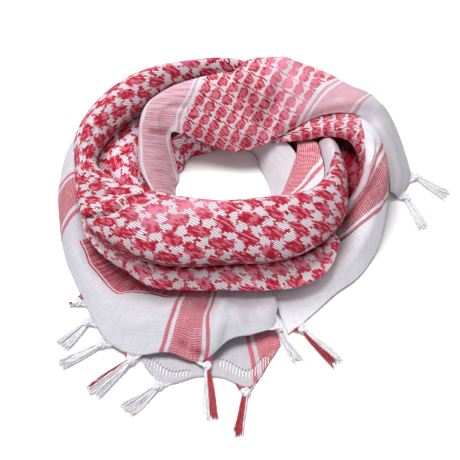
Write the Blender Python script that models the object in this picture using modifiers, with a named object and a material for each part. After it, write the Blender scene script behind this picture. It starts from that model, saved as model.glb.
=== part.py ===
"""A keffiyeh headscarf wound into a ring and laid on a flat surface, its fringed corners spread in front.

Frame: +Z up, the surface at Z = 0, -Y towards the fringed front. Every stretch of cloth that shows is a wall
lofted through sections round the ring. A section is a row of a table: its angle round the ring (degrees, 0 at
+X, 90 at +Y), then the stations that the cloth passes through, each as a radius from the ring's middle and a
height (both mm). Stations run from the inside of the ring over the top to the outside.
"""

import math

import bmesh
import bpy
import numpy as np
from mathutils import Vector

MM = 0.001
WALL = 1.6  # cotton cloth with its hem turned, mm
RING_MIDDLE = (-29.1, 78.7)  # where the ring's middle lies from the middle of the whole outline, mm
KNOT_RADIUS = 4.3
KNOT_SQUASH = 0.84
LOCK_THICK = 1.9
LOCK_SPACING = 2.5
LOCKS_LOW = 4
LOCKS_HIGH = 3
GATHER_LOCKS = 3
GATHER_SPREAD = 1.0  # between the places where gather locks leave the hem, degrees round the ring
SEAM = 0.8  # air between a tassel and the hem it grows from, mm

RED = (0.55, 0.03, 0.06, 1.0)
WHITE = (0.82, 0.81, 0.83, 1.0)
PINK = (0.72, 0.33, 0.40, 1.0)

# Wide patterned roll: a small roll at the right, broad across the front, a thin tube round the left and back.
FRONT_ROLL = (
    # around, foot r, z, inner r, z, crest r, z, outer r, z, tuck r, z
    (58, 110, 58, 108, 66, 115, 72, 123, 64, 120, 54),
    (70, 107, 63, 105, 74, 112, 82, 121, 74, 119, 60),
    (80, 105, 66, 104, 79, 112, 91, 122, 80, 119, 60),
    (92, 104, 67, 104, 83, 112, 95, 123, 84, 119, 60),
    (108, 104, 68, 103, 84, 112, 97, 124, 86, 120, 62),
    (130, 108, 68, 107, 84, 120, 99, 136, 86, 133, 62),
    (155, 114, 68, 111, 80, 130, 98, 149, 84, 144, 60),
    (175, 130, 64, 127, 74, 142, 91, 157, 76, 151, 56),
    (187, 136, 62, 134, 72, 144, 84, 156, 68, 151, 48),
    (197, 122, 52, 124, 70, 138, 87, 158, 66, 153, 46),
    (215, 86, 14, 85, 52, 118, 91, 163, 66, 158, 46),
    (240, 70, 12, 66, 50, 98, 93, 152, 66, 142, 43),
    (270, 67, 12, 61, 50, 89, 92, 135, 66, 124, 43),
    (300, 72, 12, 65, 50, 95, 91, 143, 64, 132, 43),
    (325, 92, 20, 88, 52, 112, 86, 138, 60, 133, 43),
    (345, 105, 42, 101, 62, 112, 81, 124, 66, 120, 50),
    (358, 102, 48, 99, 61, 108, 75, 118, 62, 115, 48),
    (366, 100, 46, 98, 58, 107, 70, 116, 59, 113, 46),
    (374, 101, 44, 100, 53, 108, 61.5, 116, 54, 113, 44),
    (380, 103, 42, 102, 48, 109, 53.5, 116, 48, 113, 42),
)

# Second fold of the same cloth, showing below the front roll.
FRONT_FOLD = (
    # around, back r, z, crest r, z, belly r, z, under r, z
    (202, 146, 33.5, 153, 40.5, 159, 35.5, 155, 27.5),
    (211, 146, 34, 156, 41, 163, 34, 157, 23),
    (220, 140, 34, 151, 40, 160, 29, 150, 18),
    (230, 133, 34, 145, 39.5, 156, 26, 146, 16),
    (240, 129, 34, 143, 39, 157, 25, 146, 15),
    (256, 119, 33, 131, 40, 145, 24, 134, 15),
    (270, 114, 33, 126, 41, 141, 24, 131, 15),
    (285, 115, 33, 128, 41, 146, 24, 137, 15),
    (300, 121, 33, 135, 40, 154, 25, 146, 15),
    (312, 124, 33, 139, 39, 152, 27, 144, 18),
    (322, 123, 33, 134, 38, 141, 32, 136, 24),
)

# Inner panel across the back: at the right it rolls over the crest and ends in the white tail corner, and at the
# left its striped band turns down into the hole.
BACK_PANEL = (
    # around, edge r, z, face r, z, brow r, z, crest r, z, back r, z
    (-1, 171, 14, 174, 11, 177, 8, 179, 5, 181, 2.5),
    (8, 171, 32, 177, 28, 186, 19, 194, 10, 198, 3),
    (16, 166, 47, 172, 48.5, 182, 41, 192, 26, 199, 7),
    (23, 158, 57.6, 166, 60.5, 178, 56, 190, 42, 197, 18),
    (26, 140.6, 70.2, 154, 74, 172, 69, 188, 51, 196, 22),
    (29, 122, 70.5, 141.5, 77, 164, 76, 183, 59, 192, 28),
    (36, 90, 56, 108, 73, 135, 83, 159, 75, 176, 44),
    (46, 63, 38, 86, 64, 115, 88, 148, 82, 163, 50),
    (58, 49, 31, 75, 60, 103, 91, 134, 91, 151, 59),
    (66, 45, 29, 71, 59, 99, 91, 127, 94, 142, 66),
    (73, 42, 28, 67, 58, 95, 91, 112, 99, 128, 88),
    (79, 41, 28, 65, 57, 90, 88, 100, 95, 109, 99),
    (85, 41, 28, 64, 57, 86, 82, 95, 87, 101, 90),
    (95, 42, 29, 64, 57, 84, 80, 94, 85, 100, 87),
    (112, 48, 34, 68, 58, 86, 79, 94, 84, 99, 85),
    (126, 58, 40, 76, 61, 90, 77, 98, 81, 103, 82),
    (136, 69, 48, 82, 63, 95, 75, 101, 79, 105, 79),
    (143, 76, 48, 86, 60, 96, 71, 102, 76, 106, 77),
    (149, 65, 16, 78, 42, 92, 62, 100, 71, 105, 74),
    (155, 59, 5, 73, 32, 88, 54, 97, 65, 102, 69),
    (165, 58, 3, 67, 26, 79, 44, 90, 57, 96, 62),
    (182, 56, 3, 65, 24, 76, 39, 86, 49, 91, 53),
    (202, 56, 3, 63, 19, 70, 31, 76, 37, 80, 39),
    (220, 58, 3, 61, 13, 64, 23, 68, 30, 70, 32),
)

# Strip that comes out from under the panel, loops round the right side and runs on to the front.
RIGHT_WRAP = (
    # around, curl r, z, ridge r, z, slope r, z, side r, z, hem r, z
    (-72, 126, 3.2, 142, 4, 158, 4, 172, 3.2, 188, 2.2),
    (-62, 120, 3.4, 138, 5, 153, 5, 164, 3.6, 176, 2.2),
    (-50, 118, 5, 136, 8, 150, 9, 161, 6, 168, 2.2),
    (-40, 117, 10, 138, 16, 152, 18, 163, 10, 170, 2.2),
    (-28, 120, 22, 143, 33, 155, 31, 165, 16, 169, 2.6),
    (-15, 131, 42, 144, 53, 156, 45, 164, 25, 167, 3),
    (0, 135, 56, 145, 66, 160, 56, 167, 34, 168, 4),
    (10, 126, 64, 137, 73, 159, 61, 167, 38, 167, 6),
    (18, 108, 58, 124, 70, 154, 64, 164, 42, 165, 8),
    (26, 90, 47, 108, 59.6, 141, 64, 156, 45.5, 159, 14),
    (36, 76, 39, 94, 53, 114, 62, 136, 54, 144, 32),
    (46, 67, 33, 80, 43, 98, 54, 116, 55, 124, 46),
)

# White and pink cloth on the inside of the ring at the right, in two layers.
RIGHT_INNER_WHITE = (
    # around, foot r, z, middle r, z, top r, z
    (-42, 53, 2.5, 58, 16, 66, 25),
    (-20, 48, 2.5, 55, 16, 65, 25),
    (4, 46, 2.5, 55, 17, 69, 28),
    (22, 46.5, 2.5, 58, 18, 79, 31),
    (40, 50, 2.5, 59, 20, 78, 36),
    (52, 56, 2.5, 62, 20, 76, 40),
    (64, 68, 2.5, 70, 18, 75, 38),
    (84, 72, 2.5, 73, 18, 76, 40),
)
RIGHT_INNER_BAND = (
    # around, foot r, z, middle r, z, top r, z
    (-40, 62, 29, 70, 37, 78, 44),
    (-17, 60, 30, 75, 44, 95, 57),
    (3, 65, 33, 79, 46, 95.5, 56),
    (15, 72, 35, 84, 44, 97.8, 50),
    (24, 80, 36, 88, 42, 98, 46),
    (32, 87, 37, 92, 40, 97, 42),
)

# Patterned hollow inside the ring at the left, behind the pinched roll.
LEFT_HOLLOW = (
    # around, low r, z, middle r, z, top r, z
    (148, 98, 51, 105, 58, 113, 60),
    (162, 93, 49, 108, 58, 124, 59),
    (178, 88, 43, 107, 57, 131, 59),
    (193, 83, 36, 101, 50, 121, 52),
    (200, 80, 33.5, 94, 45, 111, 48),
    (207, 78, 32.5, 85, 39, 93, 42),
    (213, 77, 33, 80, 37, 85, 39.2),
)
# Layer below the panel's lip at the back of the hole.
BACK_LOWER_LAYER = (
    # around, foot r, z, middle r, z, top r, z
    (94, 72, 2.5, 73, 18, 76, 40),
    (110, 67, 2.5, 69, 18, 73, 41),
    (126, 69, 2.5, 71, 18, 77, 40),
    (134, 67, 2.5, 70, 18, 77, 38),
    (141, 63, 2.5, 66, 17, 73, 34),
    (150, 65, 2.5, 67, 6, 69, 10),
)

# White border cloth round the left side, which spreads into the knotted front corner.
APRON = (
    # around, tuck r, z, shoulder r, z, knee r, z, hem r, z
    (128, 133, 55, 138, 54, 142, 50, 143, 46),
    (138, 136, 52, 144, 52, 150, 44, 152, 32),
    (150, 140, 46, 150, 50, 159, 37, 162, 12),
    (162, 143, 46, 157, 53, 170, 38, 172, 3),
    (180, 143, 42, 160, 48, 175, 30, 177, 3),
    (195, 145, 32, 162, 38, 177, 22, 180, 3),
    (208, 144, 12, 164, 18, 178, 16, 186, 2.6),
    (220, 134, 7, 160, 9, 182, 13, 194, 2.6),
    (230, 126, 6, 154, 8, 186, 14, 207, 2.6),
    (239, 122, 6, 148, 9, 190, 14, 222, 4),
    (246, 118, 6, 146, 10, 190, 15, 224, 5),
    (254, 112, 6, 143, 11, 186, 17, 213, 9),
    (264, 108, 6, 144, 12, 182, 20, 213, 6),
    (270, 107, 6, 146, 12, 176, 21, 194, 13),
    (278, 108, 6, 146, 12, 170, 19, 187, 12),
    (284, 112, 6, 146, 12, 166, 16, 179, 11),
    (288, 120, 6, 144, 11, 152, 13, 158, 12),
)

# Lower layer of the front corner, flat on the surface.
UNDER_SKIRT = (
    # around, tuck r, z, middle r, z, hem r, z
    (247, 128, 5.3, 178, 1.2, 219, 1.2),
    (252, 127, 5.7, 182, 1.6, 236, 1.2),
    (256, 126, 6.3, 182, 1.6, 242, 1.2),
    (263, 126, 6.6, 176, 1.6, 229, 1.2),
    (269, 126, 6.6, 176, 1.6, 229, 1.2),
    (275, 126, 6.3, 180, 1.6, 240, 1.2),
    (281, 128, 6.2, 170, 1.4, 213, 1.2),
    (285, 132, 5, 166, 1.2, 197, 1.2),
)

# Outer wall of the hidden back, folded twice down to the surface.
BACK_WALL = (
    # around, top r, z, upper fold r, z, waist r, z, lower fold r, z, foot r, z
    (21, 171.5, 46, 174.5, 38, 171.5, 25, 175, 12, 171, 2.5),
    (27, 164, 53, 170, 42, 165, 26, 171, 12, 166, 2.5),
    (38, 149, 48, 158, 40, 151, 26, 159, 14, 153, 2.5),
    (50, 130, 48, 144, 42, 137, 28, 150, 16, 142, 2.5),
    (66, 112, 46, 133, 45, 126, 29, 141, 17, 132, 2.5),
    (90, 102, 42, 126, 46, 120, 30, 136, 18, 127, 2.5),
    (115, 107, 43, 130, 46, 125, 30, 140, 18, 131, 2.5),
    (135, 118, 48, 135, 43, 130, 28, 144, 17, 136, 2.5),
    (151, 126, 44, 138, 39, 134, 26, 147, 16, 140, 2.5),
)

# Hidden layers packed inside the ring, as one rounded solid on the surface.
HIDDEN_LAYERS = (
    # around, foot in r, side in r, z, top in r, z, top out r, z, side out r, z, foot out r
    (0, 60, 74, 14, 88, 26, 116, 38, 147, 38, 157),
    (15, 62, 76, 13, 89, 24, 116, 38, 148, 40, 157),
    (30, 64, 78, 12, 90, 22, 112, 34, 138, 32, 145),
    (60, 74, 78, 18, 86, 40, 100, 44, 114, 28, 120),
    (90, 73.2, 77, 20, 85, 48, 95, 46, 108, 28, 116),
    (120, 74, 78, 18, 88, 42, 103, 45, 115, 28, 122),
    (150, 76, 88, 20, 100, 44, 112, 44, 125, 26, 130),
    (180, 64, 80, 22, 98, 40, 120, 42, 140, 24, 150),
    (198, 66, 86, 15, 98, 28, 120, 34, 138, 18, 144),
    (206, 72, 92, 10, 106, 18, 120, 30, 137, 17, 136),
    (211, 78, 98, 16, 105, 34, 120, 42, 136, 18, 132),
    (218, 79, 91.7, 24, 99, 50, 118, 48, 132, 18, 126),
    (240, 76, 82, 34, 92, 60, 116, 56, 120, 22, 114),
    (270, 74, 77, 34, 86, 60, 104, 56, 106, 22, 100),
    (300, 80, 84, 34, 92, 56, 108, 50, 112, 22, 112),
    (316, 78, 96, 30, 100, 48, 108, 46, 112, 22, 112),
    (330, 72, 101, 20, 108, 34, 113, 34, 117, 16, 118),
)

# Soft ridges and troughs: stretch, start (around, share across), end, half width mm, height mm.
FOLDS = (
    ("front_roll", 262, 0.62, 318, 0.55, 13, 2.2),
    ("front_roll", 205, 0.70, 232, 0.48, 6, -3.0),
    ("back_panel", 62, 0.70, 66, 0.12, 9, 3.0),
    ("back_panel", 54, 0.66, 56, 0.15, 7, -2.6),
    ("right_wrap", -42, 0.66, -2, 0.48, 7, 2.6),
    ("apron", 243, 0.72, 252, 0.45, 9, 3.0),
    ("apron", 259, 0.88, 262, 0.42, 8, -3.4),
    ("apron", 266, 0.92, 268, 0.42, 7, 3.0),
    ("apron", 277, 0.80, 277, 0.45, 8, -3.0),
    ("back_wall", 70, 0.15, 110, 0.30, 9, 2.0),
)

# Knotted tassels: name, stretch, where it sits on the hem (around), length mm, heading degrees, colour.
TASSELS = (
    ("tassel_left_tip", "apron", 224, 9, 196, RED),
    ("tassel_left_upper", "apron", 231, 38, 230, WHITE),
    ("tassel_left_lower", "apron", 238, 46, 212, WHITE),
    ("tassel_front_left", "apron", 246, 52, 226, WHITE),
    ("tassel_front", "apron", 264, 58, 275, RED),
    ("tassel_front_right", "apron", 284, 40, 298, WHITE),
    ("tassel_under_left", "under_skirt", 255, 42, 222, WHITE),
    ("tassel_under_right", "under_skirt", 274, 48, 261, RED),
    ("tassel_wrap", "right_wrap", -68, 52, 310, WHITE),
    ("tassel_tail_upper", "back_panel", 8, 42, 319, WHITE),
    ("tassel_tail_lower", "back_panel", 0, 46, 290, WHITE),
)


def material(name, colour):
    made = bpy.data.materials.new(name)
    made.use_nodes = True
    shader = made.node_tree.nodes["Principled BSDF"]
    shader.inputs["Base Color"].default_value = colour
    shader.inputs["Roughness"].default_value = 0.9
    shader.inputs["Metallic"].default_value = 0.0
    made.diffuse_color = colour
    return made


def smooth_through(knots, values, at):
    """Values at the places asked for, on a smooth curve through the rows given at the knots."""
    gaps = np.diff(knots)
    slopes = np.diff(values, axis=0) / gaps[:, None]
    tangents = np.empty_like(values)
    tangents[0], tangents[-1] = slopes[0], slopes[-1]
    before, after = gaps[:-1, None], gaps[1:, None]
    tangents[1:-1] = (slopes[:-1] * after + slopes[1:] * before) / (before + after)
    i = np.clip(np.searchsorted(knots, at, side="right") - 1, 0, len(gaps) - 1)
    gap = gaps[i][:, None]
    s = (at - knots[i])[:, None] / gap
    return (
        (1 + 2 * s) * (1 - s) ** 2 * values[i]
        + s * (1 - s) ** 2 * gap * tangents[i]
        + s * s * (3 - 2 * s) * values[i + 1]
        + s * s * (s - 1) * gap * tangents[i + 1]
    )


def across(stations, shares):
    """Points on the section through these (r, z) stations, at shares of the way from its first to its last."""
    steps = np.sqrt(np.linalg.norm(np.diff(stations, axis=0), axis=1))
    knots = np.concatenate([[0.0], np.cumsum(steps)])
    return smooth_through(knots, stations, np.asarray(shares) * knots[-1])


def section_at(table, around, shares):
    """World points (mm) of a stretch's section at one angle round the ring."""
    rows = np.array(table, float)
    stations = smooth_through(rows[:, 0], rows[:, 1:], np.array([around], float))[0]
    places = across(stations.reshape(-1, 2), shares)
    turn = math.radians(around)
    return np.column_stack(
        [
            RING_MIDDLE[0] + places[:, 0] * math.cos(turn),
            RING_MIDDLE[1] + places[:, 0] * math.sin(turn),
            places[:, 1],
        ]
    )


def surface_of(table, steps_around, steps_across):
    """Grid of world points, first index round the ring, second across the section."""
    arounds = np.linspace(table[0][0], table[-1][0], steps_around + 1)
    shares = np.linspace(0.0, 1.0, steps_across + 1)
    return np.array([section_at(table, around, shares) for around in arounds])


def outward_of(grid):
    """Unit normals of a grid, away from the packed layers."""
    normals = np.cross(np.gradient(grid, axis=1), np.gradient(grid, axis=0))
    return normals / np.linalg.norm(normals, axis=2, keepdims=True)


def with_folds(name, table, grid):
    """The grid with this stretch's soft ridges and troughs raised along its normals."""
    raised = grid.copy()
    outward = outward_of(grid)
    for stretch, around_a, share_a, around_b, share_b, half_width, height in FOLDS:
        if stretch != name:
            continue
        places = zip(np.linspace(around_a, around_b, 7), np.linspace(share_a, share_b, 7))
        line = np.array([section_at(table, around, [share])[0] for around, share in places])
        apart = np.linalg.norm(grid[:, :, None, :] - line, axis=3).min(axis=2)
        raised += outward * (height * np.exp(-((apart / half_width) ** 2)))[:, :, None]
    return raised


def cloth_wall(name, table, steps_around, steps_across, finish):
    """One stretch of cloth: a lofted sheet with the cloth's thickness."""
    grid = with_folds(name, table, surface_of(table, steps_around, steps_across))
    GRIDS[name] = grid
    wide = steps_across + 1
    faces = [
        (i * wide + j, i * wide + j + 1, (i + 1) * wide + j + 1, (i + 1) * wide + j)
        for i in range(steps_around)
        for j in range(steps_across)
    ]
    mesh = bpy.data.meshes.new(name)
    mesh.from_pydata((grid.reshape(-1, 3) * MM).tolist(), [], faces)
    mesh.materials.append(finish)
    mesh.shade_smooth()
    obj = bpy.data.objects.new(name, mesh)
    scarf.objects.link(obj)
    thick = obj.modifiers.new("wall", "SOLIDIFY")
    thick.thickness = WALL * MM
    thick.offset = 0.0
    return obj


def hidden_layers(steps_around, finish):
    """The ring of layers that nothing shows, closed round the ring, with a flat foot."""
    rows = np.array(HIDDEN_LAYERS, float)
    rows = np.vstack([rows, rows[0]])
    rows[-1, 0] += 360.0
    arounds = np.arange(steps_around) * 360.0 / steps_around
    sections = smooth_through(rows[:, 0], rows[:, 1:], arounds)
    shares = np.linspace(0.0, 1.0, 9)
    points = []
    for around, row in zip(arounds, sections):
        foot_in, foot_out = (row[0], 0.0), (row[-1], 0.0)
        stations = np.array([foot_in, row[1:3], row[3:5], row[5:7], row[7:9], foot_out])
        turn = math.radians(around)
        for r, z in across(stations, shares):
            place = (RING_MIDDLE[0] + r * math.cos(turn), RING_MIDDLE[1] + r * math.sin(turn), z)
            points.append([value * MM for value in place])
    wide = len(shares)
    faces = [
        (i * wide + j, i * wide + (j + 1) % wide, k * wide + (j + 1) % wide, k * wide + j)
        for i, k in ((i, (i + 1) % steps_around) for i in range(steps_around))
        for j in range(wide)
    ]
    mesh = bpy.data.meshes.new("hidden_layers")
    mesh.from_pydata(points, [], faces)
    mesh.materials.append(finish)
    mesh.shade_smooth()
    obj = bpy.data.objects.new("hidden_layers", mesh)
    scarf.objects.link(obj)
    return obj


def lock_mesh(name, start, end, sag, thick_start, thick_end):
    """A tapered lock of threads from start to end (mm), four sided, sagging a little on its way."""
    curve = bpy.data.curves.new(name, "CURVE")
    curve.dimensions = "3D"
    curve.bevel_depth = 0.5 * MM
    curve.bevel_resolution = 0
    curve.use_fill_caps = True
    spline = curve.splines.new("POLY")
    shares = (0.0, 0.5, 1.0)
    spline.points.add(len(shares) - 1)
    for point, share in zip(spline.points, shares):
        place = start + (end - start) * share + np.array([0.0, 0.0, -sag * math.sin(math.pi * share)])
        point.co = (*(place * MM), 1.0)
        point.radius = thick_start + (thick_end - thick_start) * share
    holder = bpy.data.objects.new(name, curve)
    scarf.objects.link(holder)
    bpy.context.view_layer.update()
    mesh = bpy.data.meshes.new_from_object(holder.evaluated_get(bpy.context.evaluated_depsgraph_get()))
    bpy.data.objects.remove(holder)
    return mesh


def welded_object(name, mesh):
    """An object on this mesh, its loose caps welded to its sides."""
    work = bmesh.new()
    work.from_mesh(mesh)
    bmesh.ops.remove_doubles(work, verts=work.verts, dist=0.00002)
    bmesh.ops.recalc_face_normals(work, faces=work.faces)
    work.to_mesh(mesh)
    work.free()
    obj = bpy.data.objects.new(name, mesh)
    cutters.objects.link(obj)
    obj.hide_render = True
    obj.display_type = "WIRE"
    return obj


def hem_at(stretch, around):
    """The point (mm) on a stretch's outer hem at this angle round the ring, and the cloth's normal there."""
    grid = GRIDS[stretch]
    arounds = np.linspace(TABLES[stretch][0][0], TABLES[stretch][-1][0], len(grid))
    edge = np.hstack([grid[:, -1], outward_of(grid)[:, -1]])
    found = np.array([np.interp(around, arounds, edge[:, k]) for k in range(6)])
    return found[:3], found[3:]


def tassel(name, stretch, around, length, heading, colour):
    """An overhand knot at the hem, with locks that fan out beyond it and short ones back to the hem."""
    (hem_point, normal), (before, _), (after, _) = (hem_at(stretch, around + turn) for turn in (0.0, -1.0, 1.0))
    along = (after - before) * np.array([1.0, 1.0, 0.0])
    along /= np.linalg.norm(along)
    outward = np.array([along[1], -along[0], 0.0])
    out = np.array([math.cos(heading), math.sin(heading), 0.0])
    side = np.array([-out[1], out[0], 0.0])
    seam = SEAM + WALL / 2 * max(0.0, float(normal @ outward))
    knot = hem_point + outward * (KNOT_RADIUS + seam + 1.4)
    knot[2] = max(KNOT_RADIUS * KNOT_SQUASH + 0.3, hem_point[2])
    bpy.ops.mesh.primitive_uv_sphere_add(segments=8, ring_count=5, radius=KNOT_RADIUS * MM)
    head = bpy.context.object
    head.name = head.data.name = name
    for vertex in head.data.vertices:
        vertex.co.z *= KNOT_SQUASH
        vertex.co += Vector(knot * MM)
    head.data.materials.append(material(name, colour))
    head.data.shade_smooth()
    for old in list(head.users_collection):
        old.objects.unlink(head)
    scarf.objects.link(head)
    locks = []
    for layer, count in enumerate((LOCKS_LOW, LOCKS_HIGH)):
        for n in range(count):
            lean = n - (count - 1) / 2 + 0.14 * math.sin(2.3 * n + layer + around)
            reach = length * (1.0 - 0.07 * abs(math.sin(1.9 * n + 2 * layer + around)))
            start = knot + side * lean * LOCK_SPACING * 0.72 + out * 1.3
            start[2] = knot[2] - 1.1 + 2.3 * layer
            end = knot + side * lean * LOCK_SPACING * (1.6 - 0.3 * layer) + out * reach
            end[2] = 1.1 + 2.6 * layer
            locks.append((start, end, 0.3, LOCK_THICK, LOCK_THICK * 0.62))
    for n in range(GATHER_LOCKS):
        lean = n - (GATHER_LOCKS - 1) / 2
        start = knot + along * lean * 1.9 - outward * 1.2
        end = hem_at(stretch, around + lean * GATHER_SPREAD)[0] + outward * seam
        locks.append((start, end, 0.0, LOCK_THICK, LOCK_THICK * 0.7))
    for n, (start, end, sag, thick_start, thick_end) in enumerate(locks):
        mesh = lock_mesh(f"{name}_lock_{n}", start, end, sag, thick_start, thick_end)
        join = head.modifiers.new(f"lock_{n}", "BOOLEAN")
        join.operation = "UNION"
        join.object = welded_object(f"{name}_lock_{n}", mesh)
    return head


for leftover in list(bpy.data.objects):
    bpy.data.objects.remove(leftover)
scarf = bpy.data.collections.new("keffiyeh_headscarf")
cutters = bpy.data.collections.new("joined_locks")
bpy.context.scene.collection.children.link(scarf)
bpy.context.scene.collection.children.link(cutters)

pattern = material("patterned_cloth", RED)
border = material("border_cloth", WHITE)
stripe = material("striped_cloth", PINK)

# Stretch name, its table, steps round the ring, steps across, finish.
STRETCHES = (
    ("front_roll", FRONT_ROLL, 52, 11, pattern),
    ("front_fold", FRONT_FOLD, 24, 7, pattern),
    ("back_panel", BACK_PANEL, 44, 9, pattern),
    ("right_wrap", RIGHT_WRAP, 26, 9, border),
    ("right_inner_white", RIGHT_INNER_WHITE, 14, 4, border),
    ("right_inner_band", RIGHT_INNER_BAND, 10, 4, stripe),
    ("left_hollow", LEFT_HOLLOW, 12, 4, pattern),
    ("back_lower_layer", BACK_LOWER_LAYER, 9, 4, pattern),
    ("apron", APRON, 46, 8, border),
    ("under_skirt", UNDER_SKIRT, 14, 5, border),
    ("back_wall", BACK_WALL, 20, 8, pattern),
)
TABLES, GRIDS = {}, {}
for stretch_name, stretch_table, count_around, count_across, stretch_finish in STRETCHES:
    TABLES[stretch_name] = stretch_table
    cloth_wall(stretch_name, stretch_table, count_around, count_across, stretch_finish)
hidden_layers(36, pattern)

for tassel_name, on_stretch, hem_around, tassel_length, heading_deg, tassel_colour in TASSELS:
    tassel(
        tassel_name, on_stretch, hem_around, tassel_length, math.radians(heading_deg), tassel_colour
    )
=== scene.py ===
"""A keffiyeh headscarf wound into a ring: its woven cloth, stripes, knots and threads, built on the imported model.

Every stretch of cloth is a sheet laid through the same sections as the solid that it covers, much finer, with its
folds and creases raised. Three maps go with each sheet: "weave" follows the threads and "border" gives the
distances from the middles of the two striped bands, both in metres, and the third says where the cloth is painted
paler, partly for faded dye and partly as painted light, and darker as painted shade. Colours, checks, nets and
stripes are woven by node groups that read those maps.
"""

import math

import bpy
import numpy as np
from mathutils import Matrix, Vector, noise


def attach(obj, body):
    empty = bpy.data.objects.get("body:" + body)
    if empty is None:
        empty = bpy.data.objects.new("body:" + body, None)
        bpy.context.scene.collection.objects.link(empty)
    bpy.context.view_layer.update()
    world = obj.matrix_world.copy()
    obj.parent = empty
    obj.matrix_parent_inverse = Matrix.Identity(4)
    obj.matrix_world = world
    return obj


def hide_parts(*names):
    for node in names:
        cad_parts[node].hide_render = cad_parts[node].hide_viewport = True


MM = 0.001
TURN = 2 * math.pi

# Sheets, mm unless said otherwise.
CLOTH = 1.0  # thickness of the cloth
WALL = 1.6  # and of the solids' walls
RING_MIDDLE = (-29.1, 78.7)
LINE_PLACES = 41  # points along a fold or crease
FADING_LIGHT_AND_SHADE_PLACES = 25  # points along a patch painted paler or darker
BAND_PLACES = 9  # distances across each section in the tables of the bands
BESIDE_STEPS = (160, 60)  # round and across, of the surface that a loose edge settles on
SEED_STEP = 3.7  # between the seeds of the sheets' waves
FAR = -0.2  # distance from a band where there is none, metres
LAPPED = -0.026  # the same where a white lap hides the band

# Woven figures: half length and half breadth in metres, and how square the oval is.
BEAN = (0.0114, 0.0060, 2.1)
BAR = (0.0042, 0.0021, 2.2)
LINK = (0.0034, 0.0016, 2.0)
NET_KNOT = (0.0053, 0.0060, 2.2)
NET_CELL = (0.0129, 0.0151, 0.08)  # repeat and row height in metres, and lean
STROKE = (0.0040, 0.0010)  # half length and half breadth
STROKE_TURN = (0.97, 0.24)
STROKE_SHIFTS = (-0.0028, 0.0022)
WARP_PITCH, WEFT_PITCH, COMB_PITCH = 0.0022, 0.0024, 0.0032
STRIPE_BLUR = 0.0003

# Tassels, mm.
KNOT_RADIUS = 4.3
KNOT_SQUASH = 0.84
KNOT_PLACES = 44
KNOT_GATHER = 1.4  # from the seam to the knot
SEAM = 0.8
CORD, THREAD = 1.55, 0.30  # their half thickness
PLIES, PLY_TURN = 5, 1.257  # strands twisted into one thread, and the turn from one to the next
THREAD_PLACES = 10
GATHERS = 13  # threads from the hem into a knot
KNOT_LOW, GATHER_LOW, THREAD_LOW = 0.3, 0.7, 0.35  # how near to the floor each comes

# Studio, metres and degrees.
FLOOR_SIZE = 6.0
SCARF_MIDDLE = (-0.03, 0.06, 0.03)
LOOKED_AT = (-0.0271, 0.0337)
CAMERA_AWAY = 1.3
CAMERA_RISE = 50.0

WHITE_COTTON = (0.72, 0.71, 0.76, 1.0)
THIN_WHITE = (0.56, 0.53, 0.57, 1.0)
DRAPED_WHITE = (0.61, 0.60, 0.65, 1.0)
PINK_SHADE = (0.38, 0.20, 0.27, 1.0)
RED_COTTON = (0.49, 0.020, 0.046, 1.0)
RED_PALE = (0.65, 0.205, 0.28, 1.0)
RED_DEEP = (0.20, 0.002, 0.014, 1.0)
# The paler red of faded dye and painted light, the dark red multiplied in as painted shade, and the near black of
# painted shade in crevices.
RED_FADED_AND_LIT = (0.80, 0.31, 0.43, 1.0)
RED_PAINTED_SHADE = (0.50, 0.10, 0.16, 1.0)
RED_PAINTED_CREVICE_SHADE = (0.016, 0.001, 0.003, 1.0)

# Wide patterned roll: a small roll at the right, broad across the front, a thin tube round the left and back.
FRONT_ROLL = (
    # around, foot r, z, inner r, z, crest r, z, outer r, z, tuck r, z
    (58, 110, 58, 108, 66, 115, 72, 123, 64, 120, 54),
    (70, 107, 63, 105, 74, 112, 82, 121, 74, 119, 60),
    (80, 105, 66, 104, 79, 112, 91, 122, 80, 119, 60),
    (92, 104, 67, 104, 83, 112, 95, 123, 84, 119, 60),
    (108, 104, 68, 103, 84, 112, 97, 124, 86, 120, 62),
    (130, 108, 68, 107, 84, 120, 99, 136, 86, 133, 62),
    (155, 114, 68, 111, 80, 130, 98, 149, 84, 144, 60),
    (175, 130, 64, 127, 74, 142, 91, 157, 76, 151, 56),
    (187, 136, 62, 134, 72, 144, 84, 156, 68, 151, 48),
    (197, 122, 52, 124, 70, 138, 87, 158, 66, 153, 46),
    (215, 86, 14, 85, 52, 118, 91, 163, 66, 158, 46),
    (240, 70, 12, 66, 50, 98, 93, 152, 66, 142, 43),
    (270, 67, 12, 61, 50, 89, 92, 135, 66, 124, 43),
    (300, 72, 12, 65, 50, 95, 91, 143, 64, 132, 43),
    (325, 92, 20, 88, 52, 112, 86, 138, 60, 133, 43),
    (345, 105, 42, 101, 62, 112, 81, 124, 66, 120, 50),
    (358, 102, 48, 99, 61, 108, 75, 118, 62, 115, 48),
    (366, 100, 46, 98, 58, 107, 70, 116, 59, 113, 46),
    (374, 101, 44, 100, 53, 108, 61.5, 116, 54, 113, 44),
    (380, 103, 42, 102, 48, 109, 53.5, 116, 48, 113, 42),
)

# Second fold of the same cloth, showing below the front roll.
FRONT_FOLD = (
    # around, back r, z, crest r, z, belly r, z, under r, z
    (202, 146, 33.5, 153, 40.5, 159, 35.5, 155, 27.5),
    (211, 146, 34, 156, 41, 163, 34, 157, 23),
    (220, 140, 34, 151, 40, 160, 29, 150, 18),
    (230, 133, 34, 145, 39.5, 156, 26, 146, 16),
    (240, 129, 34, 143, 39, 157, 25, 146, 15),
    (256, 119, 33, 131, 40, 145, 24, 134, 15),
    (270, 114, 33, 126, 41, 141, 24, 131, 15),
    (285, 115, 33, 128, 41, 146, 24, 137, 15),
    (300, 121, 33, 135, 40, 154, 25, 146, 15),
    (312, 124, 33, 139, 39, 152, 27, 144, 18),
    (322, 123, 33, 134, 38, 141, 32, 136, 24),
)

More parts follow.
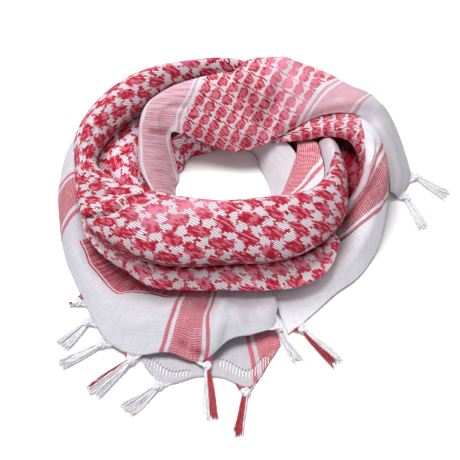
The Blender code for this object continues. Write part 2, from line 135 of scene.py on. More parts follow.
# Inner panel across the back: at the right it rolls over the crest and ends in the white tail corner, and at the
# left its striped band turns down into the hole.
BACK_PANEL = (
    # around, edge r, z, face r, z, brow r, z, crest r, z, back r, z
    (-1, 171, 14, 174, 11, 177, 8, 179, 5, 181, 2.5),
    (8, 171, 32, 177, 28, 186, 19, 194, 10, 198, 3),
    (16, 166, 47, 172, 48.5, 182, 41, 192, 26, 199, 7),
    (23, 158, 57.6, 166, 60.5, 178, 56, 190, 42, 197, 18),
    (26, 140.6, 70.2, 154, 74, 172, 69, 188, 51, 196, 22),
    (29, 122, 70.5, 141.5, 77, 164, 76, 183, 59, 192, 28),
    (36, 90, 56, 108, 73, 135, 83, 159, 75, 176, 44),
    (46, 63, 38, 86, 64, 115, 88, 148, 82, 163, 50),
    (58, 49, 31, 75, 60, 103, 91, 134, 91, 151, 59),
    (66, 45, 29, 71, 59, 99, 91, 127, 94, 142, 66),
    (73, 42, 28, 67, 58, 95, 91, 112, 99, 128, 88),
    (79, 41, 28, 65, 57, 90, 88, 100, 95, 109, 99),
    (85, 41, 28, 64, 57, 86, 82, 95, 87, 101, 90),
    (95, 42, 29, 64, 57, 84, 80, 94, 85, 100, 87),
    (112, 48, 34, 68, 58, 86, 79, 94, 84, 99, 85),
    (126, 58, 40, 76, 61, 90, 77, 98, 81, 103, 82),
    (136, 69, 48, 82, 63, 95, 75, 101, 79, 105, 79),
    (143, 76, 48, 86, 60, 96, 71, 102, 76, 106, 77),
    (149, 65, 16, 78, 42, 92, 62, 100, 71, 105, 74),
    (155, 59, 5, 73, 32, 88, 54, 97, 65, 102, 69),
    (165, 58, 3, 67, 26, 79, 44, 90, 57, 96, 62),
    (182, 56, 3, 65, 24, 76, 39, 86, 49, 91, 53),
    (202, 56, 3, 63, 19, 70, 31, 76, 37, 80, 39),
    (220, 58, 3, 61, 13, 64, 23, 68, 30, 70, 32),
)

# Strip that comes out from under the panel, loops round the right side and runs on to the front.
RIGHT_WRAP = (
    # around, curl r, z, ridge r, z, slope r, z, side r, z, hem r, z
    (-72, 126, 3.2, 142, 4, 158, 4, 172, 3.2, 188, 2.2),
    (-62, 120, 3.4, 138, 5, 153, 5, 164, 3.6, 176, 2.2),
    (-50, 118, 5, 136, 8, 150, 9, 161, 6, 168, 2.2),
    (-40, 117, 10, 138, 16, 152, 18, 163, 10, 170, 2.2),
    (-28, 120, 22, 143, 33, 155, 31, 165, 16, 169, 2.6),
    (-15, 131, 42, 144, 53, 156, 45, 164, 25, 167, 3),
    (0, 135, 56, 145, 66, 160, 56, 167, 34, 168, 4),
    (10, 126, 64, 137, 73, 159, 61, 167, 38, 167, 6),
    (18, 108, 58, 124, 70, 154, 64, 164, 42, 165, 8),
    (26, 90, 47, 108, 59.6, 141, 64, 156, 45.5, 159, 14),
    (36, 76, 39, 94, 53, 114, 62, 136, 54, 144, 32),
    (46, 67, 33, 80, 43, 98, 54, 116, 55, 124, 46),
)

# White and pink cloth on the inside of the ring at the right, in two layers.
RIGHT_INNER_WHITE = (
    # around, foot r, z, middle r, z, top r, z
    (-42, 53, 2.5, 58, 16, 66, 25),
    (-20, 48, 2.5, 55, 16, 65, 25),
    (4, 46, 2.5, 55, 17, 69, 28),
    (22, 46.5, 2.5, 58, 18, 79, 31),
    (40, 50, 2.5, 59, 20, 78, 36),
    (52, 56, 2.5, 62, 20, 76, 40),
    (64, 68, 2.5, 70, 18, 75, 38),
    (84, 72, 2.5, 73, 18, 76, 40),
)

RIGHT_INNER_BAND = (
    # around, foot r, z, middle r, z, top r, z
    (-40, 62, 29, 70, 37, 78, 44),
    (-17, 60, 30, 75, 44, 95, 57),
    (3, 65, 33, 79, 46, 95.5, 56),
    (15, 72, 35, 84, 44, 97.8, 50),
    (24, 80, 36, 88, 42, 98, 46),
    (32, 87, 37, 92, 40, 97, 42),
)

# Patterned hollow inside the ring at the left, behind the pinched roll.
LEFT_HOLLOW = (
    # around, low r, z, middle r, z, top r, z
    (148, 98, 51, 105, 58, 113, 60),
    (162, 93, 49, 108, 58, 124, 59),
    (178, 88, 43, 107, 57, 131, 59),
    (193, 83, 36, 101, 50, 121, 52),
    (200, 80, 33.5, 94, 45, 111, 48),
    (207, 78, 32.5, 85, 39, 93, 42),
    (213, 77, 33, 80, 37, 85, 39.2),
)

# Layer below the panel's lip at the back of the hole.
BACK_LOWER_LAYER = (
    # around, foot r, z, middle r, z, top r, z
    (94, 72, 2.5, 73, 18, 76, 40),
    (110, 67, 2.5, 69, 18, 73, 41),
    (126, 69, 2.5, 71, 18, 77, 40),
    (134, 67, 2.5, 70, 18, 77, 38),
    (141, 63, 2.5, 66, 17, 73, 34),
    (150, 65, 2.5, 67, 6, 69, 10),
)

# White border cloth round the left side, which spreads into the knotted front corner.
APRON = (
    # around, tuck r, z, shoulder r, z, knee r, z, hem r, z
    (128, 133, 55, 138, 54, 142, 50, 143, 46),
    (138, 136, 52, 144, 52, 150, 44, 152, 32),
    (150, 140, 46, 150, 50, 159, 37, 162, 12),
    (162, 143, 46, 157, 53, 170, 38, 172, 3),
    (180, 143, 42, 160, 48, 175, 30, 177, 3),
    (195, 145, 32, 162, 38, 177, 22, 180, 3),
    (208, 144, 12, 164, 18, 178, 16, 186, 2.6),
    (220, 134, 7, 160, 9, 182, 13, 194, 2.6),
    (230, 126, 6, 154, 8, 186, 14, 207, 2.6),
    (239, 122, 6, 148, 9, 190, 14, 222, 4),
    (246, 118, 6, 146, 10, 190, 15, 224, 5),
    (254, 112, 6, 143, 11, 186, 17, 213, 9),
    (264, 108, 6, 144, 12, 182, 20, 213, 6),
    (270, 107, 6, 146, 12, 176, 21, 194, 13),
    (278, 108, 6, 146, 12, 170, 19, 187, 12),
    (284, 112, 6, 146, 12, 166, 16, 179, 11),
    (288, 120, 6, 144, 11, 152, 13, 158, 12),
)

# Lower layer of the front corner, flat on the surface.
UNDER_SKIRT = (
    # around, tuck r, z, middle r, z, hem r, z
    (247, 128, 5.3, 178, 1.2, 219, 1.2),
    (252, 127, 5.7, 182, 1.6, 236, 1.2),
    (256, 126, 6.3, 182, 1.6, 242, 1.2),
    (263, 126, 6.6, 176, 1.6, 229, 1.2),
    (269, 126, 6.6, 176, 1.6, 229, 1.2),
    (275, 126, 6.3, 180, 1.6, 240, 1.2),
    (281, 128, 6.2, 170, 1.4, 213, 1.2),
    (285, 132, 5, 166, 1.2, 197, 1.2),
)

# Outer wall of the hidden back, folded twice down to the surface.
BACK_WALL = (
    # around, top r, z, upper fold r, z, waist r, z, lower fold r, z, foot r, z
    (21, 171.5, 46, 174.5, 38, 171.5, 25, 175, 12, 171, 2.5),
    (27, 164, 53, 170, 42, 165, 26, 171, 12, 166, 2.5),
    (38, 149, 48, 158, 40, 151, 26, 159, 14, 153, 2.5),
    (50, 130, 48, 144, 42, 137, 28, 150, 16, 142, 2.5),
    (66, 112, 46, 133, 45, 126, 29, 141, 17, 132, 2.5),
    (90, 102, 42, 126, 46, 120, 30, 136, 18, 127, 2.5),
    (115, 107, 43, 130, 46, 125, 30, 140, 18, 131, 2.5),
    (135, 118, 48, 135, 43, 130, 28, 144, 17, 136, 2.5),
    (151, 126, 44, 138, 39, 134, 26, 147, 16, 140, 2.5),
)

# Hidden layers packed inside the ring, as one rounded solid on the surface.
HIDDEN_LAYERS = (
    # around, foot in r, side in r, z, top in r, z, top out r, z, side out r, z, foot out r
    (0, 60, 74, 14, 88, 26, 116, 38, 147, 38, 157),
    (15, 62, 76, 13, 89, 24, 116, 38, 148, 40, 157),
    (30, 64, 78, 12, 90, 22, 112, 34, 138, 32, 145),
    (60, 74, 78, 18, 86, 40, 100, 44, 114, 28, 120),
    (90, 73.2, 77, 20, 85, 48, 95, 46, 108, 28, 116),
    (120, 74, 78, 18, 88, 42, 103, 45, 115, 28, 122),
    (150, 76, 88, 20, 100, 44, 112, 44, 125, 26, 130),
    (180, 64, 80, 22, 98, 40, 120, 42, 140, 24, 150),
    (198, 66, 86, 15, 98, 28, 120, 34, 138, 18, 144),
    (206, 72, 92, 10, 106, 18, 120, 30, 137, 17, 136),
    (211, 78, 98, 16, 105, 34, 120, 42, 136, 18, 132),
    (218, 79, 91.7, 24, 99, 50, 118, 48, 132, 18, 126),
    (240, 76, 82, 34, 92, 60, 116, 56, 120, 22, 114),
    (270, 74, 77, 34, 86, 60, 104, 56, 106, 22, 100),
    (300, 80, 84, 34, 92, 56, 108, 50, 112, 22, 112),
    (316, 78, 96, 30, 100, 48, 108, 46, 112, 22, 112),
    (330, 72, 101, 20, 108, 34, 113, 34, 117, 16, 118),
)

# How deep in shade they lie, by the angle round the ring.
HIDDEN_SHADE = ((0, 1.0), (90, 0.8), (120, 0.0), (160, 0.0), (190, 0.8), (360, 1.0))

# Soft ridges and troughs of each stretch: start (around, share across), end, half width mm, height mm.
FOLDS = {
    "front_roll": (
        (262, 0.62, 318, 0.55, 13, 2.2),
        (205, 0.70, 232, 0.48, 6, -3.0),
    ),
    "back_panel": (
        (62, 0.70, 66, 0.12, 9, 3.0),
        (54, 0.66, 56, 0.15, 7, -2.6),
    ),
    "right_wrap": (
        (-42, 0.66, -2, 0.48, 7, 2.6),
    ),
    "apron": (
        (243, 0.72, 252, 0.45, 9, 3.0),
        (259, 0.88, 262, 0.42, 8, -3.4),
        (266, 0.92, 268, 0.42, 7, 4.2),
        (277, 0.80, 277, 0.45, 8, -3.0),
    ),
    "back_wall": (
        (70, 0.15, 110, 0.30, 9, 2.0),
    ),
}

# Knotted tassels: name, stretch, place on the hem (around), length mm, heading degrees, half spread mm, threads,
# and the share of them that is red (minus: counted from the other side).
TASSELS = (
    ("tassel_left_tip", "apron", 224, 9, 196, 3.0, 14, 0.5),
    ("tassel_left_upper", "apron", 231, 38, 230, 8.0, 40, 0.0),
    ("tassel_left_lower", "apron", 238, 46, 212, 5.5, 40, 0.0),
    ("tassel_front_left", "apron", 246, 52, 226, 9.0, 44, 0.12),
    ("tassel_front", "apron", 264, 58, 275, 6.5, 34, -0.6),
    ("tassel_front_right", "apron", 284, 40, 298, 5.0, 40, 0.0),
    ("tassel_under_left", "under_skirt", 255, 42, 222, 8.5, 44, 0.0),
    ("tassel_under_right", "under_skirt", 274, 48, 261, 4.0, 34, 0.93),
    ("tassel_wrap", "right_wrap", -68, 52, 310, 7.0, 40, 0.48),
    ("tassel_tail_upper", "back_panel", 8, 42, 319, 6.5, 40, 0.0),
    ("tassel_tail_lower", "back_panel", 0, 46, 290, 6.0, 38, 0.0),
)

# Distance from the middle of the striped band to the cloth, mm: the angle round the ring, then the distances at places
# evenly spread from the first station of the section to the last. A row with fewer of them runs straight between
# them. Negative towards the checked field.
BAND = {
    "front_roll": (
        (64, -90),
        (320, -80),
        (330, -22, -24, -27, -34, -60, -80, -80, -80, -80),
        (343, 40, 30, 0, -28, -50, -70, -80, -80, -80),
        (352, 40, 40, 20, -20, -38, -60, -80, -80, -80),
        (358, 40, 40, 40, 10, -26, -38, -60, -80, -80),
        (364, 40, 40, 40, 40, 40, 34, 0, -40, -60),
        (372, 40, 40, 40, 40, 40, 40, 40, -10, -40),
        (380, 40, 40, 40, 40, 40, 40, 40, 0, -30),
    ),
    "back_panel": (
        (-1, 80),
        (16, 60, 60, 60, 60, 62, 64, 66, 70, 72),
        (26, 20, 22, 26, 32, 41, 53, 60, 64, 66),
        (29, 1, 4, 7, 12, 18, 28, 40, 50, 58),
        (32, -13, -11, -8, -4, 0, 8, 18, 31, 47),
        (36, -28, -27, -25, -22, -20, -16, -8, 6, 19),
        (41, -37, -38, -38, -35, -32, -33, -31, -21, -3),
        (46, -43, -44, -47, -45, -42, -43, -43, -35, -24),
        (53, -49, -53, -58, -57, -52, -56, -57, -50, -40),
        (60, -55, -60, -67, -66, -60, -65, -69, -64, -54),
        (74, -74, -76, -80, -82, -80, -80, -80, -78, -76),
        (89, -89, -84, -78, -74, -63, -59, -54, -51, -48),
        (100, -80, -74, -68, -64, -54, -49, -45, -41, -39),
        (106, -75, -68, -62, -57, -47, -41, -36, -33, -30),
        (112, -69, -62, -55, -50, -40, -33, -28, -23, -18),
        (119, -61, -53, -46, -40, -31, -23, -15, -8, -3),
        (126, -51, -44, -37, -30, -22, -12, -3, 4, 10),
        (131, -42, -35, -29, -23, -14, -5, 4, 11, 16),
        (136, -28, -24, -19, -13, -6, 2, 9, 16, 21),
        (140, -23, -20, -16, -9, -2, 5, 12, 18, 22),
        (143, -23, -20, -15, -8, -1, 6, 12, 18, 23),
        (146, -27, -24, -20, -14, -6, 3, 11, 18, 24),
        (149, -28, -25, -21, -15, -7, 3, 11, 19, 25),
        (152, -27, -24, -18, -12, -5, 4, 11, 19, 25),
        (155, -25, -21, -14, -8, -1, 5, 11, 18, 25),
        (160, -21, -15, -9, -4, 0, 5, 11, 18, 25),
        (165, -14, -9, -5, -2, 1, 6, 12, 19, 25),
        (182, -2, -1, 1, 3, 7, 11, 16, 21, 25),
        (202, -1, 0, 1, 3, 6, 9, 13, 17, 22),
        (220, -2, 0, 4, 10, 16),
    ),
    "right_wrap": (
        (-72, 60, 60, 64, 68, 72),
        (-50, 34, 66),
        (-42, 19, 25, 30, 36, 42, 48, 54, 60, 66),
        (-34, 6, 15, 21, 27, 35, 42, 49, 55, 61),
        (-27, -15, 0, 12, 21, 28, 35, 43, 49, 56),
        (-20, -26, -13, 0, 11, 21, 28, 35, 42, 49),
        (-14, -42, -32, -15, 1, 13, 22, 29, 35, 41),
        (-8, -46, -36, -21, -7, 4, 13, 21, 27, 34),
        (-2, -50, -40, -26, -14, -5, 3, 11, 19, 26),
        (4, -55, -45, -33, -23, -15, -7, 1, 9, 17),
        (10, -60, -50, -41, -32, -24, -16, -8, 1, 9),
        (18, -66, -57, -49, -42, -35, -27, -18, -9, 1),
        (26, -70, -64, -56, -50, -44, -37, -29, -20, -10),
        (46, -80, -32),
    ),
    "right_inner_band": (
        (-40, 4, 44),
        (-21, 0, 3, 7, 11, 15, 19, 23, 27, 31),
        (-10, -4, -2, 1, 5, 9, 14, 19, 23, 27),
        (-3, -6, -2, 6, 14, 20),
        (5, -8, -6, -4, -2, 2, 5, 8, 11, 14),
        (18, -12, -4, 8),
        (32, -16, 0),
    ),
    "apron": (
        (128, -176),
        (180, -28, -30, -32, -34, -34),
        (185, -12, -14, -18, -20, -20),
        (191, 5, 4, 3, 1, 0, -2, -3, -4, -4),
        (197, 22, 21, 20, 18, 16, 14, 13, 13, 12),
        (206, 47, 46, 45, 43, 42, 41, 40, 40, 40),
        (225, 76),
        (245, 42, 42, 42, 43, 44, 46, 47, 47, 47),
        (251, 21, 21, 21, 23, 24, 25, 26, 27, 27),
        (258, -1, -1, -1, 0, 0, 1, 2, 2, 1),
        (264, -20, -19, -18, -20, -23, -22, -20, -19, -20),
        (270, -42, -42, -42, -44, -44, -43, -42, -42, -42),
        (288, -100),
    ),
    "under_skirt": (
        (247, -110),
        (276.2, -16, -18, -20, -22, -22),
        (285, 12, 12, 12, 11, 10, 9, 9, 8, 8),
    ),
}
# The same for the band that runs along the apron's tuck, under the front fold.
TUCK_BAND = {
    "apron": (
        (206.6, -3, 3, 9, 14, 20, 26, 32, 37, 43),
        (211.5, -7, -1, 6, 12, 19, 25, 32, 38, 45),
        (216.6, -13, 43),
        (219.8, -13, -7, 0, 8, 15, 23, 31, 38, 46),
        (225, -13, -13, -5, 4, 13, 22, 31, 40, 49),
        (230, -13, -13, -10, 0, 11, 22, 32, 43, 53),
        (231.7, -13, -13, -9, 1, 12, 23, 34, 45, 56),
        (234, -13, -13, -2, 9, 20, 31, 42, 53, 64),
        (240.3, -13, -8, 5, 17, 30, 43, 56, 69, 82),
        (254.4, -13, -1, 12, 25, 38, 51, 64, 77, 90),
        (260, 30, 50, 90),
        (288, 60),
    ),
}

# Edge of the white cloth that laps over the band: the angle round the ring, and the share across that it reaches.
WRAP_LAP = ((-26, 0.09), (-20, 0.13), (-13, 0.22), (-4.5, 0.215), (7.8, 0.356))
WHITE_LAP = {"right_wrap": WRAP_LAP}

# Fine creases and gathers, besides the folds that the solids have: places along them (around, share), half width mm,
# height mm, and a word where the cloth laps over itself.
CREASES = {
    "front_roll": (
        (((208, 0.84), (212, 0.775), (217.7, 0.706), (220.6, 0.64), (222, 0.56), (220, 0.46)), 3.4, 4.2, "lapped"),
        (((190, 0.40), (196, 0.56), (205, 0.70), (211, 0.86)), 3.4, -2.0),
        (((193, 0.48), (202, 0.55), (212, 0.60)), 3.0, 1.8),
        (((186, 0.20), (190, 0.62)), 3.0, -2.2),
        (((164, 0.62), (178, 0.58), (190, 0.50)), 2.6, -1.6),
        (((168, 0.40), (180, 0.36), (189, 0.42)), 2.4, -1.4),
        (((232, 0.42), (246, 0.52), (262, 0.60)), 5.0, -1.4),
        (((250, 0.36), (268, 0.46), (284, 0.50)), 4.0, -1.0),
        (((286, 0.66), (302, 0.56), (314, 0.42)), 4.0, -1.3),
        (((120, 0.50), (140, 0.58)), 3.0, -1.2),
    ),
    "front_fold": (
        (((206, 0.36), (220, 0.52), (232, 0.60)), 2.2, -1.6),
        (((244, 0.44), (258, 0.56)), 2.6, -1.2),
        (((290, 0.56), (308, 0.42)), 2.4, -1.3),
    ),
    "right_wrap": (
        (WRAP_LAP, 2.4, 2.6, "lapped"),
        (((-24, 0.12), (-12, 0.36)), 2.6, -1.6),
        (((-36, 0.10), (-28, 0.40)), 3.0, -1.2),
        (((20, 0.30), (34, 0.45)), 2.4, -1.3),
    ),
    "apron": (
        (((250, 0.95), (262, 0.94)), 2.0, 1.4),
        (((256, 0.92), (262, 0.97)), 1.6, -1.2),
        (((258, 0.80), (263, 0.98)), 1.8, -1.4),
        (((266, 0.98), (270, 0.62)), 2.4, 1.6),
        (((262, 0.35), (252, 0.62)), 4.0, -1.6),
        (((236, 0.60), (241, 0.96)), 5.0, 1.4),
        (((243, 0.98), (233, 0.55)), 3.0, -1.0),
        (((281, 0.96), (280, 0.70), (277, 0.45)), 2.4, -1.6),
    ),
    "back_panel": (
        (((152, 0.5), (128, 0.62)), 4.0, 1.4),
        (((145, 0.60), (122, 0.45)), 3.0, -1.2),
        (((153, 0.62), (148, 0.44), (144, 0.1)), 3.0, -1.4),
        (((24, 0.2), (30, 0.9)), 5.0, -1.2),
        (((26, 0.12), (17, 0.42), (9, 0.78)), 4.6, -1.9),
        (((20, 0.08), (11, 0.33), (3, 0.6)), 3.8, 1.5),
        (((28, 0.5), (19, 0.76), (13, 0.96)), 4.2, 1.7),
        (((14, 0.1), (7, 0.24), (1, 0.36)), 2.8, -1.2),
        (((71, 0.66), (66, 0.46), (60, 0.30), (52, 0.12)), 2.6, 1.5, "lapped"),
    ),
}

# Paler and darker patches. Plus is paler: partly dye paled in the sun and with washing, partly painted light on crests
# and on folds that the rolls shade; on the under skirt it marks where the hem is combed. Minus is painted shade in
# creases, recesses, undersides and on layers in shade, nearly black past 1. Places along the patch (around, share),
# how far it reaches mm, and by how much (minus: deeper).
FADING_LIGHT_AND_SHADE = {
    "front_roll": (
        (((232, 0.64), (246, 0.56), (262, 0.48)), 12, 0.8),
        (((290, 0.40), (310, 0.42)), 9, 0.35),
        # Painted light on the top of the thin tube.
        (((128, 0.62), (112, 0.56)), 8, 0.5),
        (((226, 0.90), (240, 0.93), (270, 0.92), (306, 0.90), (322, 0.80)), 17, -0.5),
        (((338, 0.84), (352, 0.90), (378, 0.90)), 16, -1.0),
        (((92, 0.10), (130, 0.14), (178, 0.14)), 12, -0.5),
        # Painted shade: nearly black in the crevice along the roll's underside, above the fold.
        (((208, 0.93), (222, 0.915), (240, 0.91), (270, 0.91), (306, 0.90), (320, 0.88)), 7, -1.8),
        (((160, 0.04), (178, 0.05), (192, 0.08), (198, 0.14)), 8, -0.5),
        (((209, 0.81), (214.5, 0.735), (218.4, 0.69), (220.8, 0.63), (222.2, 0.56)), 2.4, -0.8),
    ),
    "right_wrap": (
        (((30, 0.02), (12, 0.02), (-4, 0.02), (-14, 0.02)), 7, -0.9),
        (((16, 0.0), (2, 0.0), (-14, 0.0)), 10, -0.6),
        (((8, 0.92), (-4, 0.66), (-16, 0.40)), 12, -0.30),
        (((-26, 0.13), (-20, 0.17), (-13, 0.26), (-6, 0.255)), 6.5, -0.75),
        (((24, 0.62), (14, 0.66), (8, 0.50), (6, 0.38)), 9, -0.24),
        (((-8, 0.12), (-16, 0.12)), 5, -0.10),
    ),
    "front_fold": (
        (((218, 0.40), (230, 0.45)), 7, 0.5),
        (((252, 0.42), (272, 0.46)), 6, 0.4),
        (((225, 0.76), (250, 0.84)), 9, -0.5),
        # Painted shade: nearly black along the fold's back edge, under the roll.
        (((206, 0.20), (230, 0.22), (262, 0.24), (290, 0.22), (318, 0.16)), 5.5, -1.8),
        # Painted light along the fold's crest, which the roll shades.
        (((210, 0.42), (230, 0.42), (262, 0.44), (290, 0.44), (314, 0.42)), 4.5, 0.95),
    ),
    "back_panel": (
        (((60, 0.64), (48, 0.45), (40, 0.30)), 17, 0.95),
        (((57, 0.80), (46, 0.72)), 12, 0.5),
        (((78, 0.55), (72, 0.40), (64, 0.25)), 9, -0.5),
        (((125, 0.08), (95, 0.05), (66, 0.06)), 12, -0.45),
        (((152, 0.64), (148, 0.46), (144, 0.2)), 5, -0.5),
        (((158, 0.45), (180, 0.5), (206, 0.6)), 18, -0.2),
    ),
    "back_wall": (
        (((40, 0.5), (140, 0.5)), 14, -0.2),
    ),
    "right_inner_white": (
        (((10, 0.6), (60, 0.6)), 22, -0.12),
    ),
    "apron": (
        (((272, 0.30), (280, 0.45), (276, 0.62)), 12, -0.14),
        (((262, 0.30), (262, 0.60)), 7, -0.16),
        (((257.5, 0.86), (259.8, 0.89), (262.7, 0.915)), 3.4, -0.85),
        (((196, 0.10), (206, 0.12)), 9, -0.22),
        (((209, 0.20), (218, 0.28), (230, 0.36), (238, 0.34)), 13, -0.12),
    ),
    "left_hollow": (
        (((150, 1.0), (180, 1.0), (200, 1.0)), 5, -1.0),
        (((205, 0.9), (178, 0.95)), 5, -0.8),
        (((156, 0.1), (185, 0.1), (205, 0.3)), 7, -0.45),
    ),
    "under_skirt": (
        (((250.5, 0.90), (255, 0.90), (260, 0.92)), 5, 0.95),
        (((268.5, 0.84), (272, 0.86), (276, 0.88), (280, 0.92)), 6, 0.95),
    ),
}

# How far the grain of a stretch is turned from the ring, degrees, by the angle round the ring.
STRAIGHT = ((0, 0),)
GRAIN = {
    "front_roll": ((64, 8), (150, 20), (192, 24), (193, 60), (205, 54), (247, 27), (292, 0), (330, -22), (380, -30)),
    "front_fold": ((202, 56), (247, 27), (292, 0), (322, -16)),
    "back_panel": ((-1, 57), (30, 47), (60, 17), (90, -10), (125, -45), (150, -67), (220, -73)),
    "right_wrap": ((-72, 75), (-30, 60), (-10, 46), (20, 25), (46, 10)),
    "left_hollow": ((148, 30), (178, 20), (213, -20)),
    "under_skirt": ((247, 20), (266, 0), (285, -20)),
    "back_wall": ((27, 10),),
}

# Stretches whose weave is laid flat by relaxing it, with the angle round the ring where its heading is kept.
LAID_FLAT = {"back_panel": 112, "right_wrap": 12}

# Loose edges eased down onto what lies beside them: edge (0 first, -1 last), from and to which angle round the ring,
# what lies beside it, how far the easing reaches mm, the space left mm, and the furthest move mm.
SETTLED = {
    "back_panel": (0, 1, 45, "right_wrap", 7, 1.5, 4.5),
    "left_hollow": (-1, 148, 212, "front_roll", 6, 1.5, 4.5),
    "right_inner_band": (-1, -40, 32, "front_roll", 7, 1.3, 5.0),
    "back_lower_layer": (-1, 120, 150.5, "back_panel", 9, 1.3, 16.0),
}


def smooth_through(knots, values, at):
    """Values at the places asked for, on a smooth curve through the rows given at the knots."""
    gaps = np.diff(knots)
    slopes = np.diff(values, axis=0) / gaps[:, None]
    tangents = np.empty_like(values)
    tangents[0], tangents[-1] = slopes[0], slopes[-1]
    before, after = gaps[:-1, None], gaps[1:, None]
    tangents[1:-1] = (slopes[:-1] * after + slopes[1:] * before) / (before + after)
    i = np.clip(np.searchsorted(knots, at, side="right") - 1, 0, len(gaps) - 1)
    gap = gaps[i][:, None]
    s = (at - knots[i])[:, None] / gap
    return (
        (1 + 2 * s) * (1 - s) ** 2 * values[i]
        + s * (1 - s) ** 2 * gap * tangents[i]
        + s * s * (3 - 2 * s) * values[i + 1]
        + s * s * (s - 1) * gap * tangents[i + 1]
    )


def across(stations, shares):
    """Points on the section through these (r, z) stations, at shares of the way from its first to its last."""
    steps = np.sqrt(np.linalg.norm(np.diff(stations, axis=0), axis=1))
    knots = np.concatenate([[0.0], np.cumsum(steps)])
    return smooth_through(knots, stations, np.asarray(shares) * knots[-1])


def round_ring(places, around):
    """World points (mm) of (r, z) places at one angle round the ring."""
    turn = math.radians(around)
    x, y = (middle + places[:, 0] * part for middle, part in zip(RING_MIDDLE, (math.cos(turn), math.sin(turn))))
    return np.column_stack([x, y, places[:, 1]])


def section_at(table, around, shares):
    """World points (mm) of a stretch's section at one angle round the ring."""
    rows = np.array(table, float)
    stations = smooth_through(rows[:, 0], rows[:, 1:], np.array([around], float))[0]
    return round_ring(across(stations.reshape(-1, 2), shares), around)


def surface_of(table, steps_around, steps_across):
    """Grid of world points, first index round the ring, second across the section."""
    arounds = np.linspace(table[0][0], table[-1][0], steps_around + 1)
    shares = np.linspace(0.0, 1.0, steps_across + 1)
    return np.array([section_at(table, around, shares) for around in arounds])


def outward_of(grid):
    """Unit normals of a grid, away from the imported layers."""
    normals = np.cross(np.gradient(grid, axis=1), np.gradient(grid, axis=0))
    return normals / np.linalg.norm(normals, axis=2, keepdims=True)


def line_on(table, places, count=LINE_PLACES):
    """Points (mm) along a line drawn on a stretch through the given places."""
    steps = np.linspace(0.0, len(places) - 1.0, count)
    arounds, shares = (np.interp(steps, range(len(places)), values) for values in zip(*places))
    return np.array([section_at(table, around, [share])[0] for around, share in zip(arounds, shares)])


def nearest_on(line, grid):
    """Which point of a line is the nearest to each point of a grid, and how far away it is."""
    apart = np.array([np.linalg.norm(grid - place, axis=2) for place in line])
    return apart.argmin(axis=0), apart.min(axis=0)


def fading(apart, reach):
    """1 on a line, falling smoothly to nothing beyond this reach."""
    return np.exp(-((apart / reach) ** 2))


def with_folds(name, table, grid):
    """The grid with this stretch's soft ridges and troughs raised along its normals."""
    raised, outward = grid.copy(), outward_of(grid)
    for *ends, half_width, height in FOLDS.get(name, ()):
        apart = nearest_on(line_on(table, (ends[:2], ends[2:])), grid)[1]
        raised += outward * (height * fading(apart, half_width))[:, :, None]
    return raised


def creased(name, table, grid):
    """The grid with its fine creases pressed in or raised along its normals, and lapped where one fold lies over."""
    raised, outward = grid.copy(), outward_of(grid)
    for places, half_width, height, *lapped in CREASES.get(name, ()):
        line = line_on(table, places)
        nearest, apart = nearest_on(line, grid)
        strength = 0.30 + 0.70 * np.sin(math.pi * (nearest + 0.5) / len(line)) ** 0.7
        profile = fading(apart, half_width)
        if lapped:
            sideways = np.cross(np.gradient(line, axis=0)[nearest], grid - line[nearest])
            over, under = fading(apart, 2.6 * half_width), -0.7 * fading(apart, 0.9 * half_width)
            profile = np.where(np.einsum("ijk,ijk->ij", sideways, outward) > 0, over, under)
        raised += outward * (height * strength * profile)[:, :, None]
    return raised


def fading_light_and_shade_map(name, table, grid):
    """How much paler and how much darker a sheet is painted, 0 to 1 each: paler for faded dye and painted light,
    darker as painted shade.
    """
    fading_light_and_shade = np.zeros(grid.shape[:2] + (2,))
    for places, reach, amount in FADING_LIGHT_AND_SHADE.get(name, ()):
        apart = nearest_on(line_on(table, places, FADING_LIGHT_AND_SHADE_PLACES), grid)[1]
        kind = fading_light_and_shade[:, :, 0 if amount > 0 else 1]
        np.maximum(kind, abs(amount) * fading(apart, reach), out=kind)
    return fading_light_and_shade


def band_at(rows, arounds, shares):
    """Distances (metres) from the band's middle over a whole sheet."""
    even = np.linspace(0.0, 1.0, BAND_PLACES)
    rows = np.array([(row[0], *np.interp(even, np.linspace(0.0, 1.0, len(row) - 1), row[1:])) for row in rows])
    given = smooth_through(rows[:, 0], rows[:, 1:], arounds)
    return smooth_through(even, given.T, shares).T * MM


def widths_of(grid):
    """How far each point lies across the sheet, from its first edge, mm."""
    steps = np.linalg.norm(np.diff(grid, axis=1), axis=2)
    return np.concatenate([np.zeros((len(grid), 1)), np.cumsum(steps, axis=1)], axis=1)


def waved(grid, waves, seed):
    """The grid with the small uneven waves of soft cotton."""
    along, over, height = waves
    middle = grid[:, grid.shape[1] // 2]
    lengths = np.concatenate([[0.0], np.cumsum(np.linalg.norm(np.diff(middle, axis=0), axis=1))])
    tall = widths_of(grid)
    for length, row in zip(lengths, tall):
        for j, width in enumerate(row):
            first = noise.noise(Vector((length / along, width / over, seed)))
            second = noise.noise(Vector((length / along * 2.3 + 7.0, width / over * 1.9, seed + 5.0)))
            row[j] = first + 0.5 * second
    return grid + outward_of(grid) * (height * tall)[:, :, None]


def weave_map(grid, arounds, grain, start_share):
    """Place of each grid point in the woven cloth, metres: its crest line laid out flat, and the cloth beside it."""
    start = int(round(start_share * (grid.shape[1] - 1)))
    turned = -np.radians(np.interp(arounds, *zip(*grain)))
    steps = np.linalg.norm(np.diff(grid[:, start], axis=0), axis=1)
    halfway = (turned[1:] + turned[:-1]) / 2
    crest = np.zeros((len(grid), 2))
    crest[1:, 0] = np.cumsum(steps * np.cos(halfway))
    crest[1:, 1] = np.cumsum(-steps * np.sin(halfway))
    away = widths_of(grid)
    away = away - away[:, start : start + 1]
    u = crest[:, None, 0] + away * np.sin(turned)[:, None]
    v = crest[:, None, 1] + away * np.cos(turned)[:, None]
    return np.stack([u, v], axis=2) * MM


